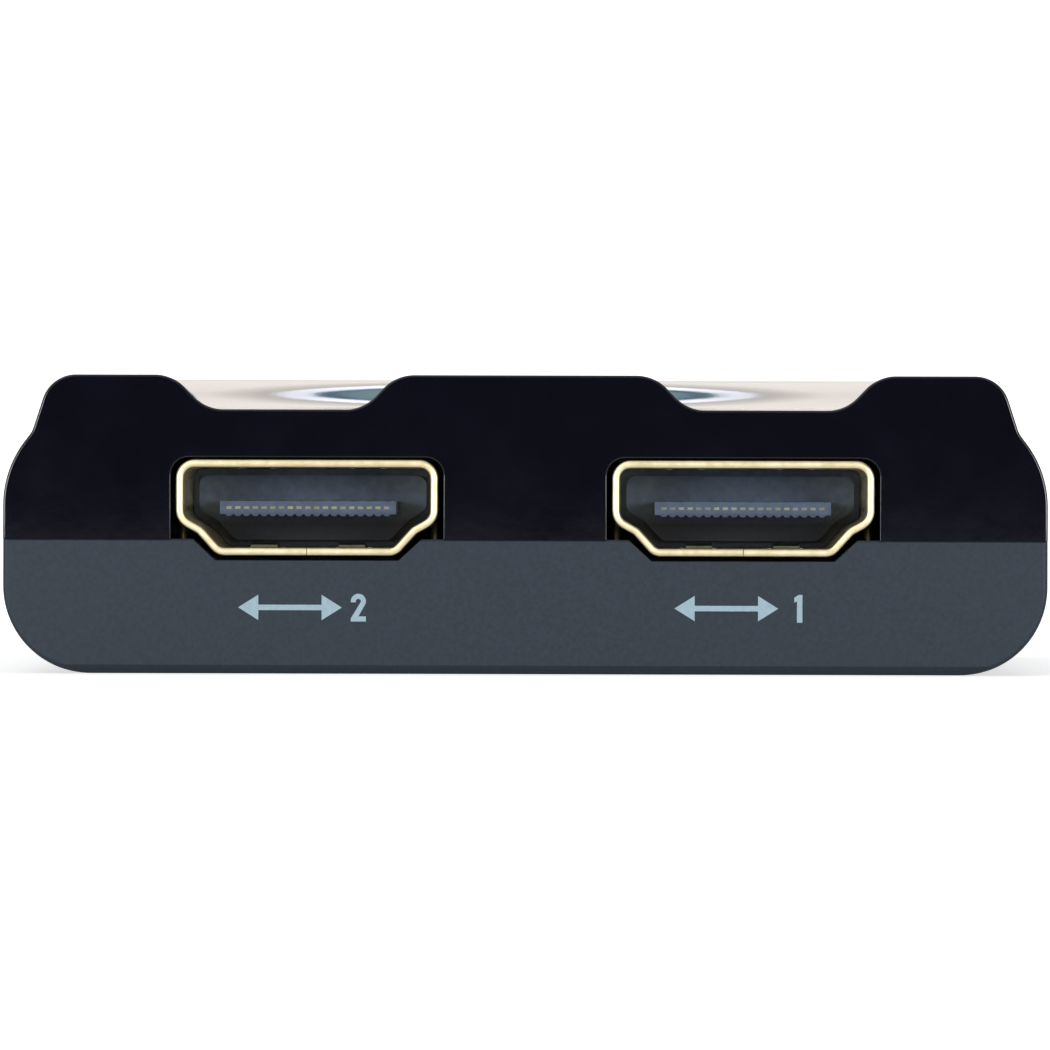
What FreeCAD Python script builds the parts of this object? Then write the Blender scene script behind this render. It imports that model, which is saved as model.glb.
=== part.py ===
"""Two-way video switch: a small two-shell case with two ports in front and one behind.

A push button in the roof works a switch on the board, and two lights show the chosen port.
Frame: millimetres, +Z up, the origin in the middle of the underside, the two-port face at -Y.
"""

import FreeCAD
import Part
import Sketcher
import math
import os

SIZES = {
    # Case, seen from the two-port face
    "case_width": 59.4,
    "case_depth": 50.0,
    "case_height": 17.0,
    "wall": 1.8,
    "roof_wall": 1.7,
    "side_bend_drop": 5.4,
    "side_bend_radius": 6.0,
    "shoulder_drop": 3.25,
    "shoulder_inset": 1.65,
    "shoulder_radius": 1.5,
    "land_inset": 2.7,
    "land_radius": 2.0,
    "base_radius": 5.0,
    "base_bevel": 0.6,
    "face_edge_radius": 0.25,
    # Finger scoops in the roof, one over each port
    "scoop_shift": 1.3,
    "scoop_floor": 8.9,
    "scoop_mouth": 12.72,
    "scoop_depth": 1.97,
    "scoop_radius": 2.4,
    "scoop_length": 16.0,
    "ramp_start": 4.4,
    "ramp_run": 7.4,
    "ramp_radius": 26.0,
    "core_margin": 0.8,
    "core_reach": 8.2,
    "core_corner_radius": 1.0,
    # Lip where the shells meet
    "lip_thickness": 0.8,
    "lip_height": 1.0,
    "lip_gap": 0.1,
    # Screws and their posts
    "screw_inset_x": 7.0,
    "screw_inset_y": 6.5,
    "screw_radius": 1.1,
    "screw_length": 9.4,
    "screw_head_radius": 1.8,
    "screw_head_height": 1.5,
    "screw_recess_width": 0.55,
    "screw_recess_span": 2.4,
    "screw_recess_depth": 0.8,
    "screw_gap": 0.06,
    "screw_seat_height": 2.3,
    "well_gap": 0.2,
    "well_wall": 0.95,
    "post_radius": 2.4,
    # Circuit board
    "board_thickness": 1.6,
    "board_gap": 0.6,
    "board_corner": 1.0,
    "board_hole_gap": 0.3,
    "rib_thickness": 1.0,
    "rib_length": 24.0,
    "rib_offset": 11.0,
    "prop_radius": 1.6,
    # Ports: a standard wide-mouth socket, 14.0 by 4.55 inside
    "port_inset": 17.3,
    "port_roof_gap": 1.19,
    "port_proud": 0.2,
    "parting_drop": 1.795,
    "port_lift": 0.55,
    "mouth_width": 14.0,
    "mouth_height": 4.55,
    "mouth_top_radius": 0.6,
    "mouth_side_drop": 0.53,
    "mouth_side_radius": 0.7,
    "knee_width": 11.9,
    "knee_drop": 1.11,
    "knee_radius": 1.0,
    "floor_width": 9.8,
    "floor_radius": 0.5,
    "sheet": 0.42,
    "socket_length": 11.0,
    "rim_radius": 0.12,
    "seam_width": 0.07,
    "opening_width": 15.5,
    "opening_radius": 1.0,
    "opening_gap": 0.16,
    "notch_top_width": 13.0,
    "notch_floor_width": 10.4,
    "notch_gap": 0.3,
    # Springs and legs of the socket's metal shell
    "roof_spring_offset": 3.2,
    "roof_spring_start": 3.2,
    "roof_spring_length": 5.6,
    "floor_spring_offset": 2.5,
    "floor_spring_start": 1.6,
    "floor_spring_length": 5.0,
    "spring_width": 1.5,
    "spring_slot": 0.3,
    "roof_spring_dip": 0.12,
    "floor_spring_dip": 0.3,
    "leg_width": 1.6,
    "leg_start": 3.2,
    "rear_leg_start": 8.6,
    "leg_reach": 0.6,
    "leg_slot_gap": 0.25,
    # Insulator and contacts of a socket
    "tongue_width": 10.05,
    "tongue_thickness": 0.75,
    "tongue_start": 1.5,
    "stop_start": 8.4,
    "stop_inset": 0.4,
    "plug_start": 9.4,
    "plug_inset": 0.03,
    "tail_block_length": 1.4,
    "contact_pitch": 1.0,
    "contact_width": 0.3,
    "contact_thickness": 0.15,
    "upper_contacts": 10,
    "contact_proud": 0.03,
    "contact_nose": 0.5,
    "contact_rise": 0.4,
    "upper_drop_start": 11.7,
    "lower_drop_start": 11.2,
    "tail_end": 13.2,
    # Push button
    "button_radius": 5.0,
    "button_gap": 0.15,
    "button_pressed_depth": 0.1,
    "button_travel": 0.5,
    "button_roof": 1.3,
    "button_wall": 1.1,
    "button_dish": 0.35,
    "button_dish_radius": 4.0,
    "button_edge_radius": 0.35,
    "flange_radius": 5.9,
    "flange_height": 0.8,
    "flange_gap": 0.1,
    "collar_wall": 1.35,
    "collar_height": 2.5,
    "stem_radius": 2.1,
    # Switch on the board
    "switch_side": 6.0,
    "switch_corner": 0.4,
    "switch_height": 3.0,
    "switch_floor": 1.0,
    "switch_well_radius": 2.4,
    "cover_thickness": 0.3,
    "cover_hole_radius": 1.9,
    "cover_tab_width": 3.0,
    "cover_tab_drop": 1.6,
    "plunger_radius": 1.75,
    "plunger_flange_radius": 2.3,
    "plunger_flange_height": 0.5,
    "plunger_rise": 2.1,
    "dome_radius": 2.2,
    "dome_crown_radius": 1.0,
    "dome_rise": 1.35,
    "dome_thickness": 0.1,
    "pin_width": 0.7,
    "pin_thickness": 0.25,
    "pin_reach": 1.2,
    "pin_spacing": 4.5,
    # Lights and their guides
    "light_y": -6.2,
    "guide_radius": 1.0,
    "guide_shank_radius": 1.3,
    "guide_gap": 0.05,
    "guide_lift": 0.2,
    "tube_wall": 0.95,
    "tube_height": 3.0,
    "lamp_length": 2.0,
    "lamp_width": 1.25,
    "lamp_height": 0.8,
    # Chips on the board
    "chip_side": 7.0,
    "chip_height": 1.2,
    "chip_lift": 0.1,
    "chip_x": 13.5,
    "chip_y": 8.0,
    "chip_pins": 11,
    "chip_pitch": 0.5,
    "chip_pin_width": 0.22,
    "chip_pin_reach": 0.9,
    "chip_pin_thickness": 0.15,
    "array_length": 2.5,
    "array_width": 1.0,
    "array_height": 0.5,
    "array_pitch": 3.0,
    "arrays_per_port": 4,
    "array_margin": 1.2,
    "capacitor_length": 1.6,
    "capacitor_width": 0.8,
    "capacitor_height": 0.8,
    "resistor_height": 0.45,
    "small_part_pitch": 2.2,
    "small_part_x": 6.0,
    "small_part_y": -2.5,
    "small_row_pitch": 3.0,
    "capacitor_pairs": 4,
}

DOCUMENT = FreeCAD.newDocument("video_switch")
SHEET = DOCUMENT.addObject("Spreadsheet::Sheet", "dims")
PLANE_NORMAL = {"XY": 1, "XZ": -1, "YZ": 1}
UP, DOWN, BACK, FORTH, RIGHT, LEFT = 1, -1, 1, -1, 1, -1
MARGIN = 1.0


class Size:
    """A size in millimetres: its value, and the formula over the sheet that ties a feature to it."""

    def __init__(self, value, formula):
        self.value = value
        self.formula = formula

    def __add__(self, other):
        other = as_size(other)
        return Size(self.value + other.value, f"({self.formula} + {other.formula})")

    def __radd__(self, other):
        return as_size(other) + self

    def __sub__(self, other):
        other = as_size(other)
        return Size(self.value - other.value, f"({self.formula} - {other.formula})")

    def __rsub__(self, other):
        return as_size(other) - self

    def __mul__(self, other):
        other = as_size(other)
        return Size(self.value * other.value, f"({self.formula} * {other.formula})")

    def __rmul__(self, other):
        return as_size(other) * self

    def __truediv__(self, other):
        other = as_size(other)
        return Size(self.value / other.value, f"({self.formula} / {other.formula})")

    def __neg__(self):
        return Size(-self.value, f"(0 - {self.formula})")


def as_size(number):
    """Gives a plain number the form of a size."""
    return number if isinstance(number, Size) else Size(float(number), f"{number:g}")


def fill_sheet():
    """Writes every driving dimension to the sheet, with its name as the alias."""
    for row, (name, value) in enumerate(SIZES.items(), start=1):
        SHEET.set(f"A{row}", name)
        SHEET.set(f"B{row}", f"{value:g}")
        SHEET.setAlias(f"B{row}", name)
    DOCUMENT.recompute()


def size(name):
    """The driving dimension of that name."""
    return Size(float(SIZES[name]), f"dims.{name}")


def bind(feature, property_name, length):
    """Sets a feature's property and ties it to the sheet."""
    length = as_size(length)
    setattr(feature, property_name, length.value)
    feature.setExpression(property_name, length.formula)


def new_body(label):
    """An empty body of that name."""
    body = DOCUMENT.addObject("PartDesign::Body", label)
    body.Label = label
    return body


def place(item, x, y, z, turn=0.0):
    """Puts an item at a point of the frame, turned about the vertical by so many degrees."""
    spot = [as_size(x), as_size(y), as_size(z)]
    rotation = FreeCAD.Rotation(FreeCAD.Vector(0, 0, 1), turn)
    item.Placement = FreeCAD.Placement(FreeCAD.Vector(*[s.value for s in spot]), rotation)
    for axis, length in zip("xyz", spot):
        item.setExpression(f".Placement.Base.{axis}", length.formula)


def origin_part(body, role):
    """The plane or axis of a body's own origin that has that role."""
    return next(f for f in body.Origin.OriginFeatures if f.Role == role)


def new_sketch(body, plane, position, name="outline"):
    """A sketch on one of the body's planes, at a position along that plane's axis of the frame."""
    sketch = body.newObject("Sketcher::SketchObject", name)
    sketch.AttachmentSupport = (origin_part(body, f"{plane}_Plane"), [""])
    sketch.MapMode = "FlatFace"
    shift = as_size(position) * PLANE_NORMAL[plane]
    sketch.AttachmentOffset = FreeCAD.Placement(FreeCAD.Vector(0, 0, shift.value), FreeCAD.Rotation())
    sketch.setExpression("AttachmentOffset.Base.z", shift.formula)
    return sketch


def constrain(sketch, rules):
    """Adds constraints to a sketch in one go, and ties each that has a size to the sheet."""
    first = sketch.ConstraintCount
    values = [[length.value] if length else [] for _, _, length in rules]
    sketch.addConstraint([Sketcher.Constraint(rule[0], *rule[1], *v) for rule, v in zip(rules, values)])
    for index, (_, _, length) in enumerate(rules, start=first):
        if length:
            sketch.setExpression(f"Constraints[{index}]", length.formula)


def pinned(geometry, point, x, y):
    """The rules that tie one point of a sketch to its distances from the origin."""
    where = (-1, 1, geometry, point)
    return [("DistanceX", where, as_size(x)), ("DistanceY", where, as_size(y))]


def corner_arc(before, corner, after, radius):
    """The arc that rounds a corner, its tangent points, and which end of the arc comes first."""
    back = (before - corner).normalize()
    on = (after - corner).normalize()
    half = back.getAngle(on) / 2
    reach = radius / math.tan(half)
    start, end = corner + back * reach, corner + on * reach
    centre = corner + (back + on).normalize() * (radius / math.sin(half))
    left_turn = (corner - before).cross(after - corner).z > 0
    first, last = (start, end) if left_turn else (end, start)
    angles = [math.atan2(p.y - centre.y, p.x - centre.x) for p in (first, last)]
    if angles[1] < angles[0]:
        angles[1] += 2 * math.pi
    arc = Part.ArcOfCircle(Part.Circle(centre, FreeCAD.Vector(0, 0, 1), radius), *angles)
    return arc, start, end, (1, 2) if left_turn else (2, 1)


def draw_outline(sketch, corners):
    """Draws a closed outline. A corner is (x, y), or (x, y, radius) where it is rounded."""
    spots = [[as_size(v) for v in corner] for corner in corners]
    points = [FreeCAD.Vector(s[0].value, s[1].value, 0) for s in spots]
    count = len(points)
    arcs = {}
    for i, spot in enumerate(spots):
        if len(spot) == 3:
            arcs[i] = corner_arc(points[i - 1], points[i], points[(i + 1) % count], spot[2].value)
    sides = []
    for i in range(count):
        j = (i + 1) % count
        start = arcs[i][2] if i in arcs else points[i]
        end = arcs[j][1] if j in arcs else points[j]
        sides.append(sketch.addGeometry(Part.LineSegment(start, end)))
    rules = []
    for i, spot in enumerate(spots):
        before, after = sides[i - 1], sides[i]
        if i not in arcs:
            rules += [("Coincident", (before, 2, after, 1), None), *pinned(after, 1, *spot)]
            continue
        arc, _, _, ends = arcs[i]
        curve = sketch.addGeometry(arc)
        corner = sketch.addGeometry(Part.Point(points[i]), True)
        rules += [
            ("Tangent", (before, 2, curve, ends[0]), None),
            ("Tangent", (curve, ends[1], after, 1), None),
            ("PointOnObject", (corner, 1, before), None),
            ("PointOnObject", (corner, 1, after), None),
            *pinned(corner, 1, *spot[:2]),
            ("Radius", (curve,), spot[2]),
        ]
    constrain(sketch, rules)


def draw_circle(sketch, x, y, radius):
    """Draws a circle round a point of the sketch."""
    x, y, radius = as_size(x), as_size(y), as_size(radius)
    circle = Part.Circle(FreeCAD.Vector(x.value, y.value, 0), FreeCAD.Vector(0, 0, 1), radius.value)
    curve = sketch.addGeometry(circle)
    constrain(sketch, [*pinned(curve, 3, x, y), ("Radius", (curve,), radius)])


def draw_box(sketch, left, right, low, high, radius=None):
    """Draws a rectangle, with its corners rounded if a radius is given."""
    corners = [(left, low), (right, low), (right, high), (left, high)]
    draw_outline(sketch, corners if radius is None else [(x, y, radius) for x, y in corners])


def mirrored(half):
    """The whole outline of a shape that is the same left and right, from its right half, bottom up."""
    left = [(-as_size(corner[0]), *corner[1:]) for corner in reversed(half)]
    return [*half, *left]


def settle(body, feature, before, grows):
    """Recomputes, and stops if the feature failed or changed nothing."""
    DOCUMENT.recompute()
    after = body.Shape.Volume
    if not feature.isValid() or (after <= before if grows else after >= before):
        raise RuntimeError(f"{body.Label}: {feature.Name} made no change, {before:.3f} to {after:.3f}")
    return feature


def volume(body):
    """A body's volume so far."""
    return body.Shape.Volume if body.Tip and not body.Shape.isNull() else 0.0


def pad(body, sketch, length, way, plane="XY", both=False):
    """Raises a sketch by a length, towards the positive or negative end of its plane's axis."""
    before = volume(body)
    feature = body.newObject("PartDesign::Pad", "pad")
    feature.Profile = sketch
    feature.SideType = "Symmetric" if both else "One side"
    feature.Reversed = way != PLANE_NORMAL[plane]
    bind(feature, "Length", length)
    return settle(body, feature, before, True)


def pocket(body, sketch, length, way, plane="XY", both=False):
    """Cuts a sketch into the body by a length, towards one end of its plane's axis."""
    before = volume(body)
    feature = body.newObject("PartDesign::Pocket", "pocket")
    feature.Profile = sketch
    feature.SideType = "Symmetric" if both else "One side"
    feature.Reversed = way == PLANE_NORMAL[plane]
    bind(feature, "Length", length)
    return settle(body, feature, before, False)


def turn(body, sketch):
    """Revolves a sketch on the XZ plane about the body's upright axis."""
    before = volume(body)
    feature = body.newObject("PartDesign::Revolution", "turned")
    feature.Profile = sketch
    feature.ReferenceAxis = (sketch, ["V_Axis"])
    feature.Angle = 360.0
    return settle(body, feature, before, True)


def repeat(body, feature, axis, pitch, count):
    """Copies a feature along the body's X or Y axis."""
    pattern = body.newObject("PartDesign::LinearPattern", "row")
    pattern.Originals = [feature]
    pattern.Direction = (origin_part(body, f"{axis}_Axis"), [""])
    pattern.Mode = "Spacing"
    bind(pattern, "Offset", pitch)
    pattern.Occurrences = int(count.value)
    pattern.setExpression("Occurrences", count.formula)
    body.Tip = pattern
    DOCUMENT.recompute()


def mirror(body, features):
    """Mirrors features from the right side to the left."""
    copy = body.newObject("PartDesign::Mirrored", "mirrored")
    copy.Originals = features
    copy.MirrorPlane = (origin_part(body, "YZ_Plane"), [""])
    body.Tip = copy
    DOCUMENT.recompute()


def round_edges(body, radius, chosen):
    """Rounds every edge of the body that the test picks."""
    base = body.Tip
    names = [f"Edge{i}" for i, edge in enumerate(body.Shape.Edges, start=1) if chosen(edge)]
    feature = body.newObject("PartDesign::Fillet", "rounding")
    feature.Base = (base, names)
    bind(feature, "Radius", radius)
    DOCUMENT.recompute()
    if not feature.isValid() or not names:
        raise RuntimeError(f"{body.Label}: the rounding failed on {len(names)} edges")
    return feature


def lies_on(edge, axis, position):
    """Whether an edge lies in the plane that stands at a position along an axis (0, 1 or 2)."""
    box = edge.BoundBox
    low, high = ((box.XMin, box.XMax), (box.YMin, box.YMax), (box.ZMin, box.ZMax))[axis]
    return abs(low - position.value) < 1e-4 and abs(high - position.value) < 1e-4


# Levels and places that several pieces share
fill_sheet()
half_width = size("case_width") / 2
half_depth = size("case_depth") / 2
top = size("case_height")
wall = size("wall")
scoop_floor_height = top - size("scoop_depth")
ceiling = scoop_floor_height - size("roof_wall")
core_ceiling = top - size("roof_wall")
shoulder_height = top - size("shoulder_drop")
side_bend_height = top - size("side_bend_drop")
port_offset = half_width - size("port_inset")
port_face = half_depth + size("port_proud")
port_top = ceiling - size("port_roof_gap")
port_axis = port_top - size("sheet") - size("mouth_height") / 2
port_bottom = port_axis - size("mouth_height") / 2 - size("sheet")
parting = port_axis - size("parting_drop")
board_top = port_bottom - size("port_lift")
board_height = board_top - size("board_thickness")
scoop_centre = port_offset + size("scoop_shift")
screw_x = half_width - size("screw_inset_x")
screw_y = half_depth - size("screw_inset_y")
screw_spots = [(sx * screw_x, sy * screw_y) for sx in (-1, 1) for sy in (-1, 1)]
light_spots = [(-1 * scoop_centre, size("light_y")), (scoop_centre, size("light_y"))]
ports = [
    ("port_1", port_offset, -port_face, BACK),
    ("port_2", -port_offset, -port_face, BACK),
    ("port_3", as_size(0), port_face, FORTH),
]
plunger_top = board_top + size("switch_height") + size("cover_thickness") + size("plunger_rise")
collar_bottom = core_ceiling - size("collar_height")
flange_top = collar_bottom - size("flange_gap")
button_top = top + size("button_travel") - size("button_pressed_depth")


def roof_side():
    """The right side of the upper shell's outline, from the parting line to the outer land."""
    return [
        (half_width, parting),
        (half_width, side_bend_height, size("side_bend_radius")),
        (half_width - size("shoulder_inset"), shoulder_height, size("shoulder_radius")),
        (half_width - size("land_inset"), top, size("land_radius")),
    ]


def scoop(centre):
    """The dip of a scoop in the roof's outline, from right to left."""
    mouth, floor, bend = size("scoop_mouth") / 2, size("scoop_floor") / 2, size("scoop_radius")
    return [
        (centre + mouth, top, bend),
        (centre + floor, scoop_floor_height, bend),
        (centre - floor, scoop_floor_height, bend),
        (centre - mouth, top, bend),
    ]


def roof_block(body, start, length, way, dips):
    """One stretch of the upper shell's block, front to back, with the dips that its scoops leave."""
    left = [(-x, *rest) for x, *rest in reversed(roof_side())]
    sketch = new_sketch(body, "XZ", start)
    draw_outline(sketch, [*roof_side(), *dips, *left])
    pad(body, sketch, length, way, "XZ")


def ramp(body, face, way, reach):
    """The ramp that lifts a scoop's floor to the roof: two wide bends, drawn from the side."""
    inward = -way
    start = face + inward * size("ramp_start")
    bend = size("ramp_radius")
    end = face + inward * size("scoop_length")
    low = scoop_floor_height - MARGIN / 2
    toe = face + inward * as_size(MARGIN) / 2
    corners = [
        (toe, low),
        (toe, scoop_floor_height),
        (start, scoop_floor_height, bend),
        (start + inward * size("ramp_run"), top, bend),
        (end, top),
        (end, low),
    ]
    sketch = new_sketch(body, "YZ", 0)
    draw_outline(sketch, corners)
    pad(body, sketch, 2 * reach, RIGHT, "YZ", both=True)


def upper_shell():
    """Glossy upper shell: sculpted roof, cored-out lands, button collar, light tubes, screw posts."""
    body = new_body("upper_shell")
    length = size("scoop_length")
    roof_block(body, -half_depth, length, BACK, [*scoop(scoop_centre), *scoop(-scoop_centre)])
    roof_block(body, half_depth, length, FORTH, scoop(as_size(0)))
    roof_block(body, -half_depth + length, 2 * half_depth - 2 * length, BACK, [])
    ramp(body, -half_depth, FORTH, scoop_centre + size("scoop_mouth") / 2)
    ramp(body, half_depth, BACK, size("scoop_mouth") / 2)
    round_edges(body, size("face_edge_radius"), on_end_faces)
    hollow_roof(body)
    cut_port_openings(body)
    add_roof_fittings(body)
    return body


def on_end_faces(edge):
    """Whether an edge bounds the front or rear face, above the parting line."""
    on_face = lies_on(edge, 1, half_depth) or lies_on(edge, 1, -half_depth)
    return on_face and not lies_on(edge, 2, parting)


def hollow_roof(body):
    """Cuts the cavity, the cores under the lands and the rebate for the lower shell's lip."""
    inner = half_width - wall
    cavity = new_sketch(body, "XZ", -(half_depth - wall))
    draw_outline(
        cavity,
        mirrored([
            (inner, parting - MARGIN),
            (inner, side_bend_height - wall / 3, size("side_bend_radius") - wall),
            (inner - size("shoulder_inset"), ceiling, size("shoulder_radius") / 2),
        ]),
    )
    pocket(body, cavity, 2 * (half_depth - wall), BACK, "XZ")
    cores = new_sketch(body, "XY", ceiling - MARGIN / 2)
    outer = half_width - size("land_inset") - wall
    flank = scoop_centre + size("scoop_mouth") / 2 + size("core_margin")
    middle = scoop_centre - size("scoop_mouth") / 2 - size("core_margin")
    rear_flank = size("scoop_mouth") / 2 + size("core_margin")
    reach, end, bend = size("core_reach"), half_depth - wall, size("core_corner_radius")
    front = [(middle, -end, bend), (middle, -reach, bend), (flank, -reach, bend), (flank, -end, bend)]
    rear = [(rear_flank, end, bend), (rear_flank, reach, bend)]
    right = [*front, (outer, -end, bend), (outer, end, bend), *rear]
    draw_outline(cores, mirrored(right))
    pocket(body, cores, core_ceiling - ceiling + MARGIN / 2, UP)
    rebate = new_sketch(body, "XY", parting)
    step = wall - size("lip_thickness") - size("lip_gap")
    draw_box(rebate, -(half_width - step), half_width - step, -(half_depth - step), half_depth - step)
    pocket(body, rebate, size("lip_height") + size("lip_gap"), UP)


def cut_port_openings(body):
    """Cuts a round-shouldered opening through the end wall for each port."""
    half = size("opening_width") / 2
    high, low, bend = port_top + size("opening_gap"), parting - MARGIN, size("opening_radius")
    for _, x, _, way in ports:
        sketch = new_sketch(body, "XZ", -way * (half_depth + MARGIN))
        left, right = x - half, x + half
        draw_outline(sketch, [(left, low), (right, low), (right, high, bend), (left, high, bend)])
        pocket(body, sketch, wall + 2 * MARGIN, way, "XZ")


def add_roof_fittings(body):
    """Adds the screw posts, the button's collar and the light tubes, then bores them."""
    hole = size("button_radius") + size("button_gap")
    posts = new_sketch(body, "XY", board_top)
    for x, y in screw_spots:
        draw_circle(posts, x, y, size("post_radius"))
    pad(body, posts, core_ceiling - board_top + MARGIN / 2, UP)
    collar = new_sketch(body, "XY", collar_bottom)
    draw_circle(collar, 0, 0, hole + size("collar_wall"))
    pad(body, collar, size("collar_height") + MARGIN / 2, UP)
    tubes = new_sketch(body, "XY", core_ceiling - size("tube_height"))
    shank_hole = size("guide_shank_radius") + size("guide_gap")
    for x, y in light_spots:
        draw_circle(tubes, x, y, shank_hole + size("tube_wall"))
    pad(body, tubes, size("tube_height") + MARGIN / 2, UP)
    pilots = new_sketch(body, "XY", board_top)
    for x, y in screw_spots:
        draw_circle(pilots, x, y, size("screw_radius") + size("screw_gap"))
    screw_tip = size("screw_seat_height") + size("screw_length")
    pocket(body, pilots, screw_tip - board_top + MARGIN / 2, UP)
    bore = new_sketch(body, "XY", top + MARGIN)
    draw_circle(bore, 0, 0, hole)
    for x, y in light_spots:
        draw_circle(bore, x, y, size("guide_radius") + size("guide_gap"))
    pocket(body, bore, top + MARGIN - collar_bottom + MARGIN, DOWN)
    sockets = new_sketch(body, "XY", core_ceiling - size("tube_height") - MARGIN)
    for x, y in light_spots:
        draw_circle(sockets, x, y, shank_hole)
    pocket(body, sockets, size("tube_height") + MARGIN, UP)


def lower_shell():
    """Satin lower shell: rounded tray with a lip, screw wells, board ribs and port notches."""
    body = new_body("lower_shell")
    block = new_sketch(body, "XZ", -half_depth)
    draw_outline(block, mirrored([(half_width, 0, size("base_radius")), (half_width, parting)])[::-1])
    pad(body, block, 2 * half_depth, BACK, "XZ")
    bevel_base(body)
    inner = half_width - wall
    cavity = new_sketch(body, "XZ", -(half_depth - wall))
    tray = [(inner, wall, size("base_radius") - wall), (inner, parting + MARGIN)]
    draw_outline(cavity, mirrored(tray)[::-1])
    pocket(body, cavity, 2 * (half_depth - wall), BACK, "XZ")
    lip = new_sketch(body, "XY", parting - MARGIN)
    outer_x, outer_y = inner + size("lip_thickness"), half_depth - wall + size("lip_thickness")
    draw_box(lip, -outer_x, outer_x, -outer_y, outer_y)
    draw_box(lip, -inner, inner, -(half_depth - wall), half_depth - wall)
    pad(body, lip, size("lip_height") + MARGIN, UP)
    notch_ports(body)
    add_floor_fittings(body)
    return body


def bevel_base(body):
    """Bevels the underside's edge along the front and rear faces."""
    for way in (BACK, FORTH):
        sketch = new_sketch(body, "YZ", 0)
        bevel, face = size("base_bevel"), -way * half_depth
        out = -way * as_size(MARGIN)
        draw_outline(sketch, [
            (face + out, bevel + MARGIN),
            (face + out, -as_size(MARGIN)),
            (face + way * (bevel + MARGIN), -as_size(MARGIN)),
        ])
        pocket(body, sketch, 2 * half_width + MARGIN, RIGHT, "YZ", both=True)
    ends = [-half_depth, half_depth]
    round_edges(body, size("face_edge_radius"), lambda e: any(lies_on(e, 1, y) for y in ends)
                and not lies_on(e, 2, parting) and not lies_on(e, 2, size("base_bevel")))


def notch_ports(body):
    """Cuts each port's sloping notch in the end wall, and the gap that it needs in the lip."""
    wide, narrow = size("notch_top_width") / 2, size("notch_floor_width") / 2
    floor = port_bottom - size("notch_gap")
    for _, x, _, way in ports:
        lip_gap = new_sketch(body, "XY", parting + size("lip_height") + MARGIN, "lip_gap")
        half = size("opening_width") / 2 + size("lip_gap")
        outside = -way * (half_depth + MARGIN)
        inside = -way * (half_depth - wall - MARGIN)
        draw_box(lip_gap, x - half, x + half, outside, inside)
        pocket(body, lip_gap, size("lip_height") + MARGIN, DOWN)
        notch = new_sketch(body, "XZ", outside, "notch")
        draw_outline(notch, [(x - narrow, floor), (x + narrow, floor), (x + wide, parting),
                             (x + wide, parting + MARGIN), (x - wide, parting + MARGIN), (x - wide, parting)])
        pocket(body, notch, wall + 2 * MARGIN, way, "XZ")


def add_floor_fittings(body):
    """Adds the screw columns, the board's ribs and the prop under the switch, then bores the wells."""
    head_well = size("screw_head_radius") + size("well_gap")
    columns = new_sketch(body, "XY", wall - MARGIN / 2)
    for x, y in screw_spots:
        draw_circle(columns, x, y, head_well + size("well_wall"))
    draw_circle(columns, 0, 0, size("prop_radius"))
    rib, reach = size("rib_thickness") / 2, size("rib_length") / 2
    for x in (size("rib_offset"), -size("rib_offset")):
        draw_box(columns, x - rib, x + rib, -reach, reach)
    pad(body, columns, board_height - wall + MARGIN / 2, UP)
    wells = new_sketch(body, "XY", -as_size(MARGIN))
    for x, y in screw_spots:
        draw_circle(wells, x, y, head_well)
    pocket(body, wells, size("screw_seat_height") + MARGIN, UP)
    holes = new_sketch(body, "XY", -as_size(MARGIN))
    for x, y in screw_spots:
        draw_circle(holes, x, y, size("screw_radius") + size("board_hole_gap"))
    pocket(body, holes, board_height + 2 * MARGIN, UP)


def circuit_board():
    """Board with screw holes and a slot for every leg of the sockets."""
    body = new_body("circuit_board")
    sketch = new_sketch(body, "XY", board_height)
    x, y = half_width - wall - size("board_gap"), half_depth - wall - size("board_gap")
    draw_box(sketch, -x, x, -y, y, size("board_corner"))
    pad(body, sketch, size("board_thickness"), UP)
    holes = new_sketch(body, "XY", board_top + MARGIN)
    for x, y in screw_spots:
        draw_circle(holes, x, y, size("screw_radius") + size("board_hole_gap"))
    pocket(body, holes, size("board_thickness") + 2 * MARGIN, DOWN)
    slots = new_sketch(body, "XY", board_top + MARGIN)
    gap = size("leg_slot_gap")
    near, far = size("mouth_width") / 2 - gap, size("mouth_width") / 2 + size("sheet") + gap
    for _, x, face, way in ports:
        for start in (size("leg_start"), size("rear_leg_start")):
            ends = [face + way * (start - gap), face + way * (start + size("leg_width") + gap)][::way]
            draw_box(slots, x + near, x + far, *ends)
            draw_box(slots, x - far, x - near, *ends)
    pocket(body, slots, size("board_thickness") + 2 * MARGIN, DOWN)
    return body


def mouth(inset=0):
    """The inside outline of a socket's mouth, about its centre, drawn in by an inset."""
    inset, half_height = as_size(inset), size("mouth_height") / 2
    return mirrored([
        (size("floor_width") / 2 - inset, -half_height + inset, size("floor_radius")),
        (size("knee_width") / 2 - inset, -size("knee_drop") + inset, size("knee_radius")),
        (size("mouth_width") / 2 - inset, -size("mouth_side_drop") + inset, size("mouth_side_radius")),
        (size("mouth_width") / 2 - inset, half_height - inset, size("mouth_top_radius")),
    ])


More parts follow.
